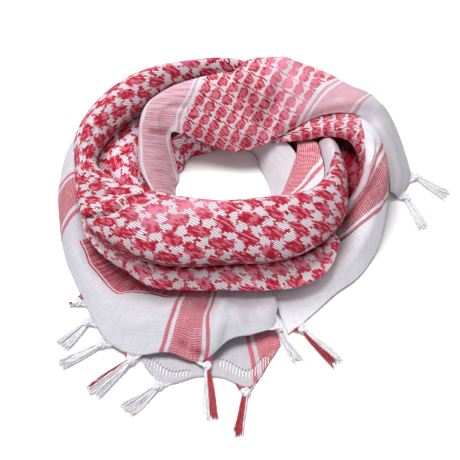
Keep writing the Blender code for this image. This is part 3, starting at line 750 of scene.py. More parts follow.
def faces_of(rows, wide, closed=False):
    """The faces of a grid, as numbers of its points. A closed one also joins its last column to its first."""
    i, j = np.mgrid[: rows - 1, : wide if closed else wide - 1].reshape(2, -1)
    beside = (j + 1) % wide
    return np.stack([i * wide + j, i * wide + beside, (i + 1) * wide + beside, (i + 1) * wide + j], axis=1)


def laid_flat(grid, rough, fixed, rounds=120):
    """A sheet's map with as little stretch as can be, starting from a rough one; one row of it keeps its heading."""
    wide = grid.shape[1]
    faces = faces_of(*grid.shape[:2])
    corners = np.vstack([faces[:, [0, 1, 2]], faces[:, [0, 2, 3]]])
    places, laid = grid.reshape(-1, 3) * MM, rough.reshape(-1, 2).copy()
    first, second = (places[corners[:, k]] - places[corners[:, 0]] for k in (1, 2))
    x_axis = first / np.linalg.norm(first, axis=1, keepdims=True)
    doubled = np.linalg.norm(np.cross(first, second), axis=1)
    true = np.zeros((len(corners), 3, 2))
    true[:, 1, 0] = np.einsum("ij,ij->i", first, x_axis)
    true[:, 2, 0] = np.einsum("ij,ij->i", second, x_axis)
    true[:, 2, 1] = doubled / true[:, 1, 0]
    side_a, side_b = (laid[corners[:, k]] - laid[corners[:, 0]] for k in (1, 2))
    true[:, 2, 1] *= np.sign(np.median(side_a[:, 0] * side_b[:, 1] - side_a[:, 1] * side_b[:, 0]))
    pull = np.zeros((len(places), len(places)))
    edges = []
    for k in range(3):
        i, j, o = corners[:, k], corners[:, (k + 1) % 3], corners[:, (k + 2) % 3]
        weight = np.maximum(np.einsum("ij,ij->i", places[i] - places[o], places[j] - places[o]) / doubled, 0.05)
        edges.append((i, j, weight, true[:, k] - true[:, (k + 1) % 3]))
        for row, column, sign in ((i, i, 1), (j, j, 1), (i, j, -1), (j, i, -1)):
            np.add.at(pull, (row, column), sign * weight)
    pull[0, 0] += 1.0
    undone = np.linalg.inv(pull)
    for _ in range(rounds):
        turned = sum(weight * (laid[i] - laid[j]).dot([1, 1j]) * edge.dot([1, -1j]) for i, j, weight, edge in edges)
        turned /= np.abs(turned)
        wanted = np.zeros(len(places), complex)
        for i, j, weight, edge in edges:
            step = weight * turned * edge.dot([1, 1j])
            np.add.at(wanted, i, step)
            np.add.at(wanted, j, -step)
        wanted = undone @ wanted
        laid = np.stack([wanted.real, wanted.imag], axis=1)
    laid = laid.reshape(rough.shape)
    before, after = ((flat[fixed + 1] - flat[fixed - 1]).sum(axis=0).dot([1, 1j]) for flat in (rough, laid))
    spin = before / after / abs(before / after)
    spun = (laid - laid[fixed, wide // 2]).dot([1, 1j]) * spin
    return np.stack([spun.real, spun.imag], axis=2) + rough[fixed, wide // 2]


def relaxed(grid, rough, arounds, kept):
    """The weave map of a sheet laid flat on every fifth point, and smooth between them."""
    picked = [np.linspace(0, count - 1, 1 + count // 5).round().astype(int) for count in grid.shape[:2]]
    some = np.ix_(*picked)
    weave = laid_flat(grid[some], rough[some], int(np.argmin(np.abs(arounds[picked[0]] - kept))))
    for knots, count in zip(picked, grid.shape[:2]):
        weave = smooth_through(knots, weave.reshape(len(knots), -1), np.arange(count))
        weave = weave.reshape(count, -1, 2).transpose(1, 0, 2)
    return weave


def settled(name, grid, arounds):
    """The grid with its loose edge eased down onto the cloth beside it."""
    eased = grid.copy()
    if name in SETTLED:
        edge, first, last, beside, reach, clear, most = SETTLED[name]
        onto = surface_of(TABLES[beside], *BESIDE_STEPS).reshape(-1, 3)
        for i in np.nonzero((arounds > first) & (arounds < last))[0]:
            away = onto - grid[i, edge]
            nearest = away[np.argmin(np.linalg.norm(away, axis=1))]
            gap = float(np.linalg.norm(nearest))
            move = nearest / gap * min(max(gap - clear, 0.0), most)
            move *= math.sin(math.pi * (arounds[i] - first) / (last - first)) ** 0.4
            apart = np.linalg.norm(grid[i] - grid[i, edge], axis=1)
            eased[i] += fading(apart, reach)[:, None] * move
    return eased


def linked(name, data):
    """A new object in the scene."""
    obj = bpy.data.objects.new(name, data)
    bpy.context.scene.collection.objects.link(obj)
    return obj


def cloth_mesh(name, grid, faces, maps, finish):
    """A mesh of a grid's points (mm) with its maps. Numbers past the last point start again at the first."""
    places = grid.reshape(-1, 3) * MM
    mesh = bpy.data.meshes.new(name)
    mesh.from_pydata(places.tolist(), [], (faces % len(places)).tolist())
    for map_name, values in maps.items():
        layer = mesh.uv_layers.new(name=map_name)
        layer.data.foreach_set("uv", values.reshape(-1, 2)[faces.ravel()].astype(np.float32).ravel())
    mesh.materials.append(finish)
    mesh.shade_smooth()
    return linked(name, mesh)


def lay_sheet(order, name, table, steps_around, steps_across, crest_share, waves, finish):
    """One stretch of cloth over its solid, with the thickness of the cloth."""
    arounds = np.linspace(table[0][0], table[-1][0], steps_around + 1)
    shares = np.linspace(0.0, 1.0, steps_across + 1)
    grid = with_folds(name, table, surface_of(table, steps_around, steps_across))
    weave = weave_map(grid, arounds, GRAIN.get(name, STRAIGHT), crest_share)
    if name in LAID_FLAT:
        weave = relaxed(grid, weave, arounds, LAID_FLAT[name])
    grid = waved(settled(name, creased(name, table, grid), arounds), waves, SEED_STEP * order)
    border, tuck = (
        band_at(bands[name], arounds, shares) if name in bands else np.full(grid.shape[:2], FAR)
        for bands in (BAND, TUCK_BAND)
    )
    if name in TUCK_BAND:
        tuck[arounds < TUCK_BAND[name][0][0]] = FAR
    if name in WHITE_LAP:
        lap = np.interp(arounds, *zip(*WHITE_LAP[name]), left=-1.0, right=-1.0)
        border = np.where(shares[None, :] < lap[:, None], np.minimum(border, LAPPED), border)
    maps = {"weave": weave, "border": np.stack([border, tuck], axis=2), "fading_light_and_shade": fading_light_and_shade_map(name, table, grid)}
    sheet = cloth_mesh(name + "_cloth", grid, faces_of(*grid.shape[:2]), maps, finish)
    thick = sheet.modifiers.new("cloth", "SOLIDIFY")
    thick.thickness = CLOTH * MM
    thick.offset = 0.0
    return sheet, grid


def packed_layers(steps_around, steps_across, finish):
    """The ring of layers that nothing shows, closed round the ring, with a flat foot."""
    rows = np.array([*HIDDEN_LAYERS, (360, *HIDDEN_LAYERS[0][1:])], float)
    arounds = np.linspace(0.0, 360.0, steps_around + 1)
    shares = np.linspace(0.0, 1.0, steps_across + 1)
    grid = []
    for around, row in zip(arounds, smooth_through(rows[:, 0], rows[:, 1:], arounds)):
        stations = np.array([(row[0], 0.0), row[1:3], row[3:5], row[5:7], row[7:9], (row[-1], 0.0)])
        grid.append(round_ring(across(stations, shares), around))
    grid = np.maximum(grid, (-np.inf, -np.inf, 0.0))
    weave = weave_map(grid, arounds, STRAIGHT, 0.5)
    # Painted shade on the hidden layers, by the angle round the ring.
    painted_hidden_shade = np.zeros(weave.shape)
    painted_hidden_shade[:, :, 1] = np.interp(arounds, *zip(*HIDDEN_SHADE))[:, None]
    faces = faces_of(steps_around + 1, steps_across + 1, closed=True)
    maps = {"weave": weave, "border": np.full(weave.shape, FAR), "fading_light_and_shade": painted_hidden_shade}
    return cloth_mesh("hidden_layers_cloth", grid[:-1], faces, maps, finish)


class Wire:
    """A value in a shader tree. A sum written with it adds the nodes that work it out."""

    def __init__(self, tree, socket):
        self.tree, self.socket = tree, socket

    def do(self, operation, *values, clamp=False):
        return node(self.tree, "ShaderNodeMath", (self, *values), operation=operation, use_clamp=clamp)

    def __add__(self, other):
        return self.do("ADD", other)

    def __mul__(self, other):
        return self.do("MULTIPLY", other)

    def __sub__(self, other):
        return self.do("SUBTRACT", other)

    def __truediv__(self, other):
        return self.do("DIVIDE", other)

    def __rsub__(self, other):
        return node(self.tree, "ShaderNodeMath", (other, self), operation="SUBTRACT")

    __radd__, __rmul__ = __add__, __mul__

    def ramp(self, low, high):
        """0 below low, 1 above high, smooth between. Works with low above high too."""
        return node(self.tree, "ShaderNodeMapRange", (self, low, high, 0.0, 1.0), interpolation_type="SMOOTHSTEP")

    def mix(self, first, second, **settings):
        """This share of the second colour over the first."""
        return node(self.tree, "ShaderNodeMix", {0: self, 6: first, 7: second}, 2, data_type="RGBA", **settings)

    def noise(self, scale, detail=2.0, kind="3D"):
        inputs = {"Vector": self, "Scale": scale, "Detail": detail}
        return node(self.tree, "ShaderNodeTexNoise", inputs, "Fac", noise_dimensions=kind)

    def split(self):
        parts = node(self.tree, "ShaderNodeSeparateXYZ", (self,)).socket.node.outputs
        return Wire(self.tree, parts[0]), Wire(self.tree, parts[1])


def feed(tree, socket, value):
    """Joins a wire to a socket, or sets its value."""
    if isinstance(value, Wire):
        tree.links.new(value.socket, socket)
    else:
        socket.default_value = value


def node(tree, kind, inputs=(), out=0, **settings):
    """A new node with its inputs fed, and the wire from one of its outputs."""
    made = tree.nodes.new(kind)
    for key, value in settings.items():
        setattr(made, key, value)
    for key, value in inputs.items() if isinstance(inputs, dict) else enumerate(inputs):
        feed(tree, made.inputs[key], value)
    return Wire(tree, made.outputs[out])


def join(x, y):
    return node(x.tree, "ShaderNodeCombineXYZ", (x, y, 0.0))


def fibres(x, y, detail=1.0):
    """Uneven tone, 0 to 1, stretched into threads by the scales that x and y come with."""
    return join(x, y).noise(1.0, detail, "2D")


def start_group(name, **inputs):
    """A shader node group and the wires from its inputs. An input without a value is a place on the cloth."""
    tree = bpy.data.node_groups.new(name, "ShaderNodeTree")
    for label, value in inputs.items():
        kind = "NodeSocketVector" if value is None else "NodeSocketFloat"
        socket = tree.interface.new_socket(name=label.replace("_", " "), in_out="INPUT", socket_type=kind)
        if value is not None:
            socket.default_value = value
    return tree, *(Wire(tree, socket) for _, socket in zip(inputs, tree.nodes.new("NodeGroupInput").outputs))


def end_group(tree, **outputs):
    for label in outputs:
        tree.interface.new_socket(name=label, in_out="OUTPUT", socket_type="NodeSocketFloat")
    for socket, value in zip(tree.nodes.new("NodeGroupOutput").inputs, outputs.values()):
        feed(tree, socket, value)
    return tree


def use_group(tree, group, **values):
    """A group placed in a tree with its inputs fed, and the wires from its outputs."""
    made = tree.nodes.new("ShaderNodeGroup")
    made.node_tree = group
    for label, value in values.items():
        feed(tree, made.inputs[label.replace("_", " ")], value)
    return {socket.name: Wire(tree, socket) for socket in made.outputs}


def thread_lines(cloth, angle, pitch, ragged):
    """Twill lines over the cloth: where each point's own thread takes its colour, and how the line runs."""
    u, v = cloth.split()
    cosine, sine = angle.do("COSINE"), angle.do("SINE")
    along = u * cosine + v * sine
    line = (v * cosine - u * sine) / pitch
    number = line.do("FLOOR")
    chance = node(cloth.tree, "ShaderNodeTexWhiteNoise", {"W": number}, "Value", noise_dimensions="1D")
    wander = fibres(number * 0.73, along * 120.0)
    shifted = along + (chance - 0.5 + (wander - 0.5) * 3.0) * ragged
    step = pitch * 0.8
    shifted = (shifted / step).do("ROUND") * step
    centre = (number + 0.5) * pitch
    streak = fibres(number * 0.83, along * 130.0)
    height = (line.do("FRACT") * math.pi).do("SINE")
    return shifted * cosine - centre * sine, shifted * sine + centre * cosine, streak, height


def lattice(u, v, repeat, row_height, lean):
    """A leaning lattice: its two running numbers, and what finds the place within a cell moved by some share."""
    row = v / row_height
    column = u / repeat - row * lean

    def within(step, row_step):
        """Distances from the nearest lattice point, in metres."""
        part, part_row = ((number + moved).do("FRACT") - 0.5 for number, moved in ((column, step), (row, row_step)))
        return (part + part_row * lean) * repeat, part_row * row_height

    return column, within


def oval(x, y, turn, long_half, short_half, power):
    """Above 0 inside a turned oval. A higher power makes it squarer."""
    if isinstance(turn, Wire):
        cosine, sine = turn.do("COSINE"), turn.do("SINE")
    else:
        cosine, sine = math.cos(turn), math.sin(turn)
    a, b = (x * cosine + y * sine) * (1 / long_half), (y * cosine - x * sine) * (1 / short_half)
    return 1.0 - (a.do("ABSOLUTE").do("POWER", power) + b.do("ABSOLUTE").do("POWER", power))


def check_group():
    """Leaning beans, by turns flatter and steeper, joined by small bars: the checked field of a keffiyeh."""
    tree, cloth, repeat, row_height, lean, *lines = start_group(
        "keffiyeh_check", Cloth=None, Repeat=0.0236, Row=0.0175, Lean=0.67, Thread_Angle=0.80, Thread_Pitch=0.0018,
        Ragged=0.0026,
    )
    u, v, streak, height = thread_lines(cloth, *lines)
    column, within = lattice(u, v, repeat, row_height, lean)
    uneven = (cloth.noise(110.0) - 0.5) * 0.9
    by_turns = ((column + 0.5).do("FLOOR") * 0.5).do("FRACT")
    bean = oval(*within(0.5, 0.5), 0.52 + by_turns * 0.80, *BEAN)
    bar = oval(*within(0.0, 0.0), 1.75, *BAR)
    link = oval(*within(0.0, 0.5), 0.25, *LINK)
    red = (bean.do("MAXIMUM", bar.do("MAXIMUM", link)) + uneven).ramp(-0.10, 0.10)
    return end_group(tree, Red=red, Streak=streak, Height=height)


def net_group():
    """Rows of round knots in a wavy net, with short slanted strokes where one knot follows another."""
    tree, cloth, *lines = start_group(
        "keffiyeh_net", Cloth=None, Thread_Angle=0.24, Thread_Pitch=0.0014, Ragged=0.0008
    )
    u, v, streak, height = thread_lines(cloth, *lines)
    _, within = lattice(u, v, *NET_CELL)
    uneven = (cloth.noise(240.0, 1.0) - 0.5) * 0.7
    x, y = within(0.5, 0.5)
    knot = oval(x + y * y * -45.0, y, 0.0, *NET_KNOT)
    x, y = within(0.5, 0.0)
    red, (long_half, short_half), (cosine, sine) = knot, STROKE, STROKE_TURN
    for shift in STROKE_SHIFTS:
        moved = x + shift
        long_share = moved * (cosine / long_half) + y * (sine / long_half)
        short_share = y * (cosine / short_half) - moved * (sine / short_half)
        red = red.do("MAXIMUM", 1.0 - (long_share * long_share + short_share * short_share))
    streak = streak + knot.ramp(0.2, 0.9) * 0.13
    return end_group(tree, Red=(red + uneven).ramp(-0.10, 0.10), Streak=streak, Height=height)


def stripe_group():
    """The striped border: a red and white band with a white and a red line on each side."""
    tree, distance, along, half, white_line, red_line, field_from, band_red, threads = start_group(
        "striped_border", Distance=FAR, Along=0.0, Half_Width=0.015, White_Line=0.004, Red_Line=0.004,
        Field_From=0.03, Band_Red=1.0, Threads=0.5,
    )
    away, soft = distance.do("ABSOLUTE"), STRIPE_BLUR
    band = away.ramp(half + soft, half - soft)
    line_from = half + white_line
    line_to = line_from + red_line
    line = away.ramp(line_from - soft, line_from + soft) * away.ramp(line_to + soft, line_to - soft)
    uneven = (threads - 0.5) * 0.75
    warp = (distance * (TURN / WARP_PITCH)).do("SINE")
    weft = (along * (TURN / WEFT_PITCH) + warp * 0.9).do("SINE")
    mixed = (0.80 + warp * 0.10 + weft * 0.34 + uneven) * band_red
    lined = (0.85 + weft * 0.15 + uneven * 0.6) * band_red
    start = field_from * -1.0
    red = (band * mixed).do("ADD", line * lined, clamp=True)
    return end_group(tree, Red=red, Field=distance.ramp(start, start - 2 * soft))


def voile_group():
    """Thin plain weave: fine crossing threads, thicker and thinner, with the odd slub."""
    tree, cloth, pitch = start_group("plain_weave", Cloth=None, Pitch=0.0011)
    u, v = cloth.split()
    warp, weft = ((place / pitch * TURN).do("SINE") for place in (u, v))
    uneven_u, uneven_v = (fibres(u * a, v * b) - 0.5 for a, b in ((620.0, 60.0), (60.0, 620.0)))
    cloud = (cloth.noise(38.0, 3.0) - 0.5) * 0.5
    tone = uneven_u * 0.9 + uneven_v * 0.9 + warp * 0.08 + weft * 0.10 + cloud
    return end_group(tree, Tone=0.5 + tone, Height=warp * 0.5 + weft * 0.5 + uneven_u)


def lifted(colour, lift):
    return tuple(min(1.0, channel * lift) for channel in colour[:3]) + (1.0,)


def start_finish(name):
    """A new material and its node tree."""
    made = bpy.data.materials.new(name)
    made.use_nodes = True
    return made, made.node_tree


def set_finish(tree, height=None, strength=1.0, depth=1.0, **values):
    """Sets the inputs of a material's shader, with a bump from this height."""
    if height is not None:
        values["Normal"] = node(tree, "ShaderNodeBump", {"Strength": strength, "Distance": depth, "Height": height})
    for label, value in values.items():
        feed(tree, tree.nodes["Principled BSDF"].inputs[label.replace("_", " ")], value)


def cotton(
    name, motif=None, field_from=0.03, half_width=0.015, line=0.004, band=1.0, white=WHITE_COTTON, tuck=False,
    lift=1.0, combed=False, beyond=None, red_brightness=1.0, slant=None,
):
    """Woven cotton: a checked or netted field where the border map says so, then stripes, then plain voile."""
    made, tree = start_finish(name)
    weave, border, fading_light_and_shade = (node(tree, "ShaderNodeUVMap", uv_map=label) for label in ("weave", "border", "fading_light_and_shade"))
    distance, tuck_distance = border.split()
    distance = distance + (weave.noise(900.0, 0.0) - 0.5) * 0.0014
    # The third map paints the cloth paler, partly for faded dye and partly as painted light, and darker as painted
    # shade.
    paler, painted_shade = fading_light_and_shade.split()
    u, v = weave.split()
    voile = use_group(tree, VOILE, Cloth=weave)
    tone, height = voile["Tone"], voile["Height"] * 0.35
    along, threads = v, tone
    if slant is not None:
        # The weft leans, and shows as single threads, where the band turns down at the left.
        turned = node(tree, "ShaderNodeTexCoord", out="Object").split()[0].ramp(-0.01, -0.05)
        along = (v + u * (turned * slant)) * 1.2
        drawn = fibres(along * 560.0, (u - v * slant) * 25.0, 2.0)
        threads = drawn.ramp(0.68, 0.30) * turned + tone * (1.0 - turned)
    stripes = use_group(
        tree, STRIPES, Distance=distance, Along=along, Half_Width=half_width, White_Line=line, Red_Line=line,
        Field_From=field_from, Band_Red=band, Threads=threads,
    )
    red, field = stripes["Red"], stripes["Field"]
    if tuck:
        second = use_group(
            tree, STRIPES, Distance=tuck_distance, Along=u, Half_Width=half_width, White_Line=0.0015,
            Red_Line=0.0018, Field_From=0.5, Band_Red=1.25, Threads=fibres(u * 620.0, v * 25.0, 2.0).ramp(0.80, 0.20),
        )
        red = red.do("MAXIMUM", second["Red"])
    colour = tone.do("MULTIPLY", 0.42, clamp=True).mix(white, lifted(white, 0.55))
    # A greyer white past the band: partly thinner cloth, partly painted shade.
    if beyond is not None:
        colour = distance.ramp(0.026, 0.060).mix(colour, beyond)
    colour = red.mix(colour, tone.ramp(0.30, 1.05).mix(lifted(RED_COTTON, red_brightness), lifted(RED_PALE, red_brightness)))
    if motif is not None:
        bend = (weave.noise(45.0, 1.0) - 0.5) * 0.006
        wandered = node(tree, "ShaderNodeVectorMath", (weave, join(bend, bend * -0.6)), operation="ADD")
        figure, streak, relief = use_group(tree, motif, Cloth=wandered).values()
        pale = (streak + paler * 0.14).ramp(0.455, 0.64) * 0.88
        dark = streak.ramp(0.46, 0.34) * 0.55
        # Darker in the grooves between the twill threads: painted shade, pink over white threads and deep red over
        # red.
        groove = relief.ramp(0.86, 0.40)
        # A lift above 1 paints the figure's threads brighter: painted light.
        red_thread = pale.mix(lifted(RED_COTTON, lift), lifted(RED_PALE, lift))
        red_thread = dark.do("MAXIMUM", groove * 0.5).mix(red_thread, RED_DEEP)
        red_thread = (paler * 0.5).mix(red_thread, RED_FADED_AND_LIT)
        white_thread = (groove * 0.90).mix(lifted(WHITE_COTTON, lift), lifted(PINK_SHADE, lift))
        colour = field.mix(colour, figure.mix(white_thread, red_thread))
        height = height * (1.0 - field) + (relief + figure * 0.5) * field
    # Painted shade: multiplied towards dark red, and nearly black past 1, in crevices.
    painted_shade_colour = painted_shade.mix(colour, RED_PAINTED_SHADE, blend_type="MULTIPLY")
    set_finish(
        tree, height, 0.6, 0.0004, Base_Color=painted_shade.ramp(1.0, 1.7).mix(painted_shade_colour, RED_PAINTED_CREVICE_SHADE), Roughness=0.9,
        Specular_IOR_Level=0.10, Sheen_Weight=0.04, Sheen_Roughness=0.5,
    )
    if combed:
        # On the under skirt the paler places of the third map are where the hem is combed into threads.
        gaps = (u * (TURN / COMB_PITCH)).do("SINE").ramp(-0.1, 0.3)
        set_finish(tree, Alpha=1.0 - gaps * paler.ramp(0.45, 0.6))
    return made


def thread_cotton(name, colour, shade):
    """Loose cotton thread, a little uneven in tone."""
    made, tree = start_finish(name)
    place = node(tree, "ShaderNodeTexCoord", out="Object")
    tone = place.noise(700.0).ramp(0.35, 0.75).mix(colour, shade)
    set_finish(tree, place.noise(1600.0, 1.0), 0.5, 0.0003, Base_Color=tone, Roughness=0.8, Sheen_Weight=0.3)
    return made


def hem_at(stretch, around):
    """The point (mm) on a stretch's outer hem at this angle round the ring, and the cloth's normal there."""
    grid = GRIDS[stretch]
    arounds = np.linspace(TABLES[stretch][0][0], TABLES[stretch][-1][0], len(grid))
    edge = np.hstack([grid[:, -1], outward_of(grid)[:, -1]])
    found = np.array([np.interp(around, arounds, values) for values in edge.T])
    return found[:3], found[3:]


def select_only(*pieces):
    bpy.ops.object.select_all(action="DESELECT")
    for piece in pieces:
        piece.select_set(True)
    bpy.context.view_layer.objects.active = pieces[0]


def thread_piece(name, paths, thickness, finish):
    """Loose threads along paths (each a list of points, mm, with its own thickness at each), as one mesh."""
    curve = bpy.data.curves.new(name, "CURVE")
    curve.dimensions = "3D"
    curve.bevel_depth = thickness * MM
    curve.bevel_resolution = 1
    curve.use_fill_caps = True
    for points, widths in paths:
        spline = curve.splines.new("POLY")
        spline.points.add(len(points) - 1)
        for point, place, width in zip(spline.points, points, widths):
            point.co = (*(np.asarray(place) * MM), 1.0)
            point.radius = width
    select_only(linked(name, curve))
    bpy.ops.object.convert(target="MESH")
    made = bpy.context.object
    made.data.materials.clear()
    made.data.materials.append(finish)
    made.data.shade_smooth()
    return made


def knot_loop(knot, out, side, tall):
    """The path of an overhand knot's cord, mm."""
    points = []
    for n in range(KNOT_PLACES):
        t = TURN * n / KNOT_PLACES
        reach = 2.0 + math.cos(3 * t)
        a, b, c = reach * math.cos(2 * t), reach * math.sin(2 * t), math.sin(3 * t)
        scale = KNOT_RADIUS * 0.27
        points.append(knot + out * a * scale * 1.15 + side * b * scale + np.array([0.0, 0.0, c * scale * 1.5 * tall]))
    points.append(points[0])
    return points, [1.0] * len(points)


def is_red(lean, red_share):
    """Whether the thread that leans this far to the side (-1 to 1) is one of a tassel's red ones."""
    from_side = (lean * (1 if red_share > 0 else -1) + 1) / 2
    return red_share != 0 and from_side < abs(red_share)


def tassel(name, stretch, around, length, heading, spread, count, red_share):
    """A knotted tassel: threads gathered from the hem, their knot, and the loose brush beyond it."""
    rng = np.random.default_rng(int(abs(around) * 10 + length))
    (hem_point, normal), (before, _), (after, _) = (hem_at(stretch, around + turn) for turn in (0.0, -1.0, 1.0))
    along = (after - before) * np.array([1.0, 1.0, 0.0])
    along /= np.linalg.norm(along)
    outward = np.array([along[1], -along[0], 0.0])
    heading = math.radians(heading)
    out = np.array([math.cos(heading), math.sin(heading), 0.0])
    side = np.array([-out[1], out[0], 0.0])
    knot = hem_point + outward * (KNOT_RADIUS + SEAM + WALL / 2 * max(0.0, float(normal @ outward)) + KNOT_GATHER)
    knot[2] = max(KNOT_RADIUS * KNOT_SQUASH + KNOT_LOW, hem_point[2])
    threads = {False: [], True: []}
    yarns = count // 2
    for n in range(yarns):
        lean = (n + 0.5) / yarns * 2 - 1 + rng.normal(0, 0.05)
        reach = length * (1.0 - 0.15 * rng.random())
        layer = rng.random()
        wave, phase = rng.uniform(0.3, 1.0), rng.uniform(0, 6.28)
        for ply in range(PLIES):
            start, twist = PLY_TURN * ply + rng.uniform(0, 1), rng.uniform(6.0, 11.0)
            fray, cut = rng.uniform(0.2, 1.6), rng.uniform(0.93, 1.0)
            points, widths = [], []
            for share in np.linspace(0.0, cut, THREAD_PLACES):
                open_out = share**0.75 * (1.0 - 0.25 * share)
                loose = 0.36 * (1.0 + fray * share**3)
                aside = lean * (1.5 + (spread - 1.5) * open_out / 0.75) + wave * share * math.sin(5.0 * share + phase)
                aside += loose * math.cos(start + twist * share)
                place = knot + out * (1.0 + (reach - 1.0) * share) + side * aside
                drop = min(1.0, share * 3.2)
                rest = 1.0 + 3.0 * layer * (1.0 - 0.35 * share)
                height = (knot[2] - 0.6 + 2.2 * (layer - 0.5)) * (1 - drop) + rest * drop
                place[2] = max(THREAD_LOW, height + 0.8 * loose * math.sin(start + twist * share))
                points.append(place)
                widths.append(1.0 - 0.25 * share)
            threads[is_red(lean, red_share)].append((points, widths))
    for n in range(GATHERS):
        lean = (n + 0.5) / GATHERS * 2 - 1
        start = hem_at(stretch, around + lean * 2.6)[0] + rng.normal(0, 0.15, 3) - outward * 1.6
        start[2] = max(start[2], GATHER_LOW)
        end = knot + along * lean * 1.8 + outward * 0.5
        middle = (start + end) / 2 + along * lean * 1.1
        threads[is_red(lean, red_share)].append(([start, middle, end], [1.4, 1.5, 1.6]))
    kinds = ((False, "_threads", WHITE_THREAD), (True, "_red_threads", RED_THREAD))
    pieces = [thread_piece(name + end, threads[kind], THREAD, finish) for kind, end, finish in kinds if threads[kind]]
    pieces.append(thread_piece(name + "_knot", [knot_loop(knot, out, side, KNOT_SQUASH)], CORD, WHITE_THREAD))
    select_only(*pieces)
    bpy.ops.object.join()
    made = bpy.context.object
    made.name = made.data.name = name + "_cotton"
    return made


def soft_light(name, place, aim, size, power):
    light = bpy.data.lights.new(name, "AREA")
    light.shape = "DISK"
    light.size = size
    light.energy = power
    lamp = linked(name, light)
    lamp.location = place
    lamp.rotation_euler = (Vector(aim) - Vector(place)).to_track_quat("-Z", "Y").to_euler()


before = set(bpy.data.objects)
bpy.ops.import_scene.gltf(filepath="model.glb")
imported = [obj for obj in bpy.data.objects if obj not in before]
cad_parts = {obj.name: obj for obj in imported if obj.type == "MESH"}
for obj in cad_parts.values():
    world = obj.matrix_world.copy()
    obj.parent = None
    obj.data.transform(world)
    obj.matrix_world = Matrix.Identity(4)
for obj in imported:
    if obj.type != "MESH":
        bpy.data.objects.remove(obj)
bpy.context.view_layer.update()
bpy.ops.object.select_all(action="DESELECT")

STRIPES, VOILE = stripe_group(), voile_group()
CHECK, NET = check_group(), net_group()
NO_BAND = {"half_width": -0.010, "line": 0.0}
CHECKED_COTTON = cotton("checked_cotton", CHECK, **NO_BAND)
# Lit copies of the checked cotton, painted 1.82 and 1.2 times brighter: painted light on the front fold, which the
# roll shades, and in the shaded hollow.
PAINTED_LIGHT_FOLD_COTTON = cotton("fold_cotton", CHECK, lift=1.82, **NO_BAND)
PAINTED_LIGHT_HOLLOW_COTTON = cotton("hollow_cotton", CHECK, lift=1.2, **NO_BAND)
# The netted panel's threads are painted 1.14 times brighter, painted light. Past its band its tail is a greyer white,
# partly the thin cloth and partly painted shade.
NETTED_COTTON = cotton(
    "netted_cotton", NET, half_width=0.020, line=0.0034, band=0.60, white=(0.76, 0.70, 0.78, 1.0), lift=1.14,
    beyond=(0.53, 0.505, 0.54, 1.0), slant=0.5,
)
# The wrap's white and threads are painted brighter, painted light, and the red of its band darker, painted shade.
WRAP_COTTON = cotton(
    "wrap_cotton", NET, field_from=0.040, half_width=0.0165, line=0.0035, white=(0.82, 0.80, 0.85, 1.0), lift=1.08,
    red_brightness=0.86,
)
STRIPED_COTTON = cotton("striped_cotton", field_from=0.5)
SKIRT_COTTON = cotton("skirt_cotton", field_from=0.5, white=THIN_WHITE, combed=True)
APRON_COTTON = cotton("apron_cotton", field_from=0.5, white=DRAPED_WHITE, tuck=True, red_brightness=0.86)
WHITE_THREAD = thread_cotton("white_thread", (0.80, 0.79, 0.82, 1.0), (0.66, 0.63, 0.68, 1.0))
RED_THREAD = thread_cotton("red_thread", RED_COTTON, RED_DEEP)

# The sheets: stretch, its sections, material, slot, steps round, steps across, share across where its crest runs,
# and its waves: length along, length across, height mm.
SHEETS = (
    ("front_roll", FRONT_ROLL, CHECKED_COTTON, "patterned_cotton", 320, 104, 0.52, (70, 13, 0.55)),
    ("front_fold", FRONT_FOLD, PAINTED_LIGHT_FOLD_COTTON, "patterned_cotton", 170, 30, 0.4, (50, 12, 0.45)),
    ("back_panel", BACK_PANEL, NETTED_COTTON, "patterned_cotton", 230, 70, 0.5, (46, 16, 0.6)),
    ("right_wrap", RIGHT_WRAP, WRAP_COTTON, "striped_cotton", 170, 60, 0.3, (40, 14, 0.5)),
    ("right_inner_white", RIGHT_INNER_WHITE, STRIPED_COTTON, "white_cotton", 70, 24, 0.5, (26, 15, 0.5)),
    ("right_inner_band", RIGHT_INNER_BAND, STRIPED_COTTON, "striped_cotton", 50, 24, 0.5, (26, 15, 0.4)),
    ("left_hollow", LEFT_HOLLOW, PAINTED_LIGHT_HOLLOW_COTTON, "patterned_cotton", 60, 24, 0.5, (26, 15, 0.4)),
    ("back_lower_layer", BACK_LOWER_LAYER, CHECKED_COTTON, "patterned_cotton", 40, 24, 0.5, (26, 15, 0.4)),
    ("apron", APRON, APRON_COTTON, "white_cotton", 280, 56, 0.5, (18, 46, 0.6)),
    ("under_skirt", UNDER_SKIRT, SKIRT_COTTON, "white_cotton", 70, 40, 0.5, (12, 46, 0.25)),
    ("back_wall", BACK_WALL, CHECKED_COTTON, "patterned_cotton", 130, 50, 0.5, (60, 14, 0.5)),
)
TABLES = {name: table for name, table, *_ in SHEETS}
GRIDS, cloths = {}, {}
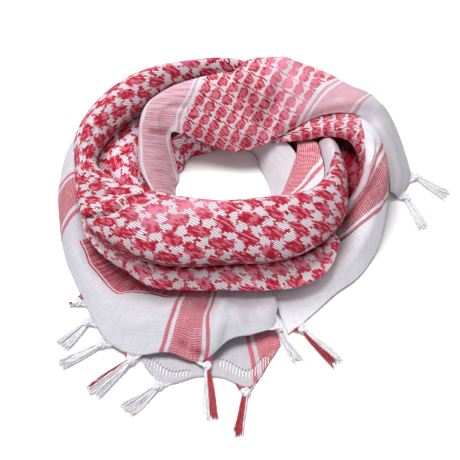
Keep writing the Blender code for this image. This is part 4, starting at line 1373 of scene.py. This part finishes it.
for order, (name, table, finish, slot_name, *shape) in enumerate(SHEETS):
    cloth, GRIDS[name] = lay_sheet(order, name, table, *shape, finish)
    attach(cloth, "root")
    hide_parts(name)
    cloths[name] = cloth

core = packed_layers(180, 40, CHECKED_COTTON)
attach(core, "root")
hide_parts("hidden_layers")

fringe = {}
for tassel_name, on_stretch, *shape in TASSELS:
    piece = tassel(tassel_name, on_stretch, *shape)
    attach(piece, "root")
    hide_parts(tassel_name)
    "red_tassel" if abs(shape[-1]) > 0.4 else "white_tassel"
    fringe.setdefault(on_stretch, []).append(piece)

# What each sheet lies on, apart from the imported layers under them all.
LIES_ON = {
    "front_roll": ["front_fold_cloth"], "front_fold": ["apron_cloth"], "back_panel": ["back_lower_layer_cloth"],
    "right_inner_band": ["right_inner_white_cloth"],
}
for name, cloth in cloths.items():
    ["hidden_layers_cloth"] + LIES_ON.get(name, [])

bpy.ops.mesh.primitive_plane_add(size=FLOOR_SIZE, location=(0.0, 0.0, 0.0))
floor = bpy.context.object
floor.name = "floor"
pale_floor, floor_tree = start_finish("pale_floor")
set_finish(floor_tree, Base_Color=(0.97, 0.97, 0.972, 1.0), Roughness=0.95, Specular_IOR_Level=0.1)
floor.data.materials.append(pale_floor)

world = bpy.data.worlds.new("studio")
world.use_nodes = True
world.node_tree.nodes["Background"].inputs["Color"].default_value = (0.97, 0.98, 1.0, 1.0)
world.node_tree.nodes["Background"].inputs["Strength"].default_value = 0.40
bpy.context.scene.world = world
soft_light("key", (-0.40, 0.34, 1.80), SCARF_MIDDLE, 1.1, 38.0)
soft_light("fill", (0.5, -1.3, 1.3), SCARF_MIDDLE, 1.2, 2.0)
bpy.context.scene.view_settings.view_transform = "Standard"

camera = bpy.data.cameras.new("camera")
camera.lens = 97.8
camera.sensor_width = 36.0
camera.clip_end = 20.0
seen_from = linked("camera", camera)
rise = math.radians(CAMERA_RISE)
seen_from.location = (LOOKED_AT[0], LOOKED_AT[1] - CAMERA_AWAY * math.cos(rise), CAMERA_AWAY * math.sin(rise))
seen_from.rotation_euler = (math.radians(90.0) - rise, 0.0, 0.0)
bpy.context.scene.camera = seen_from
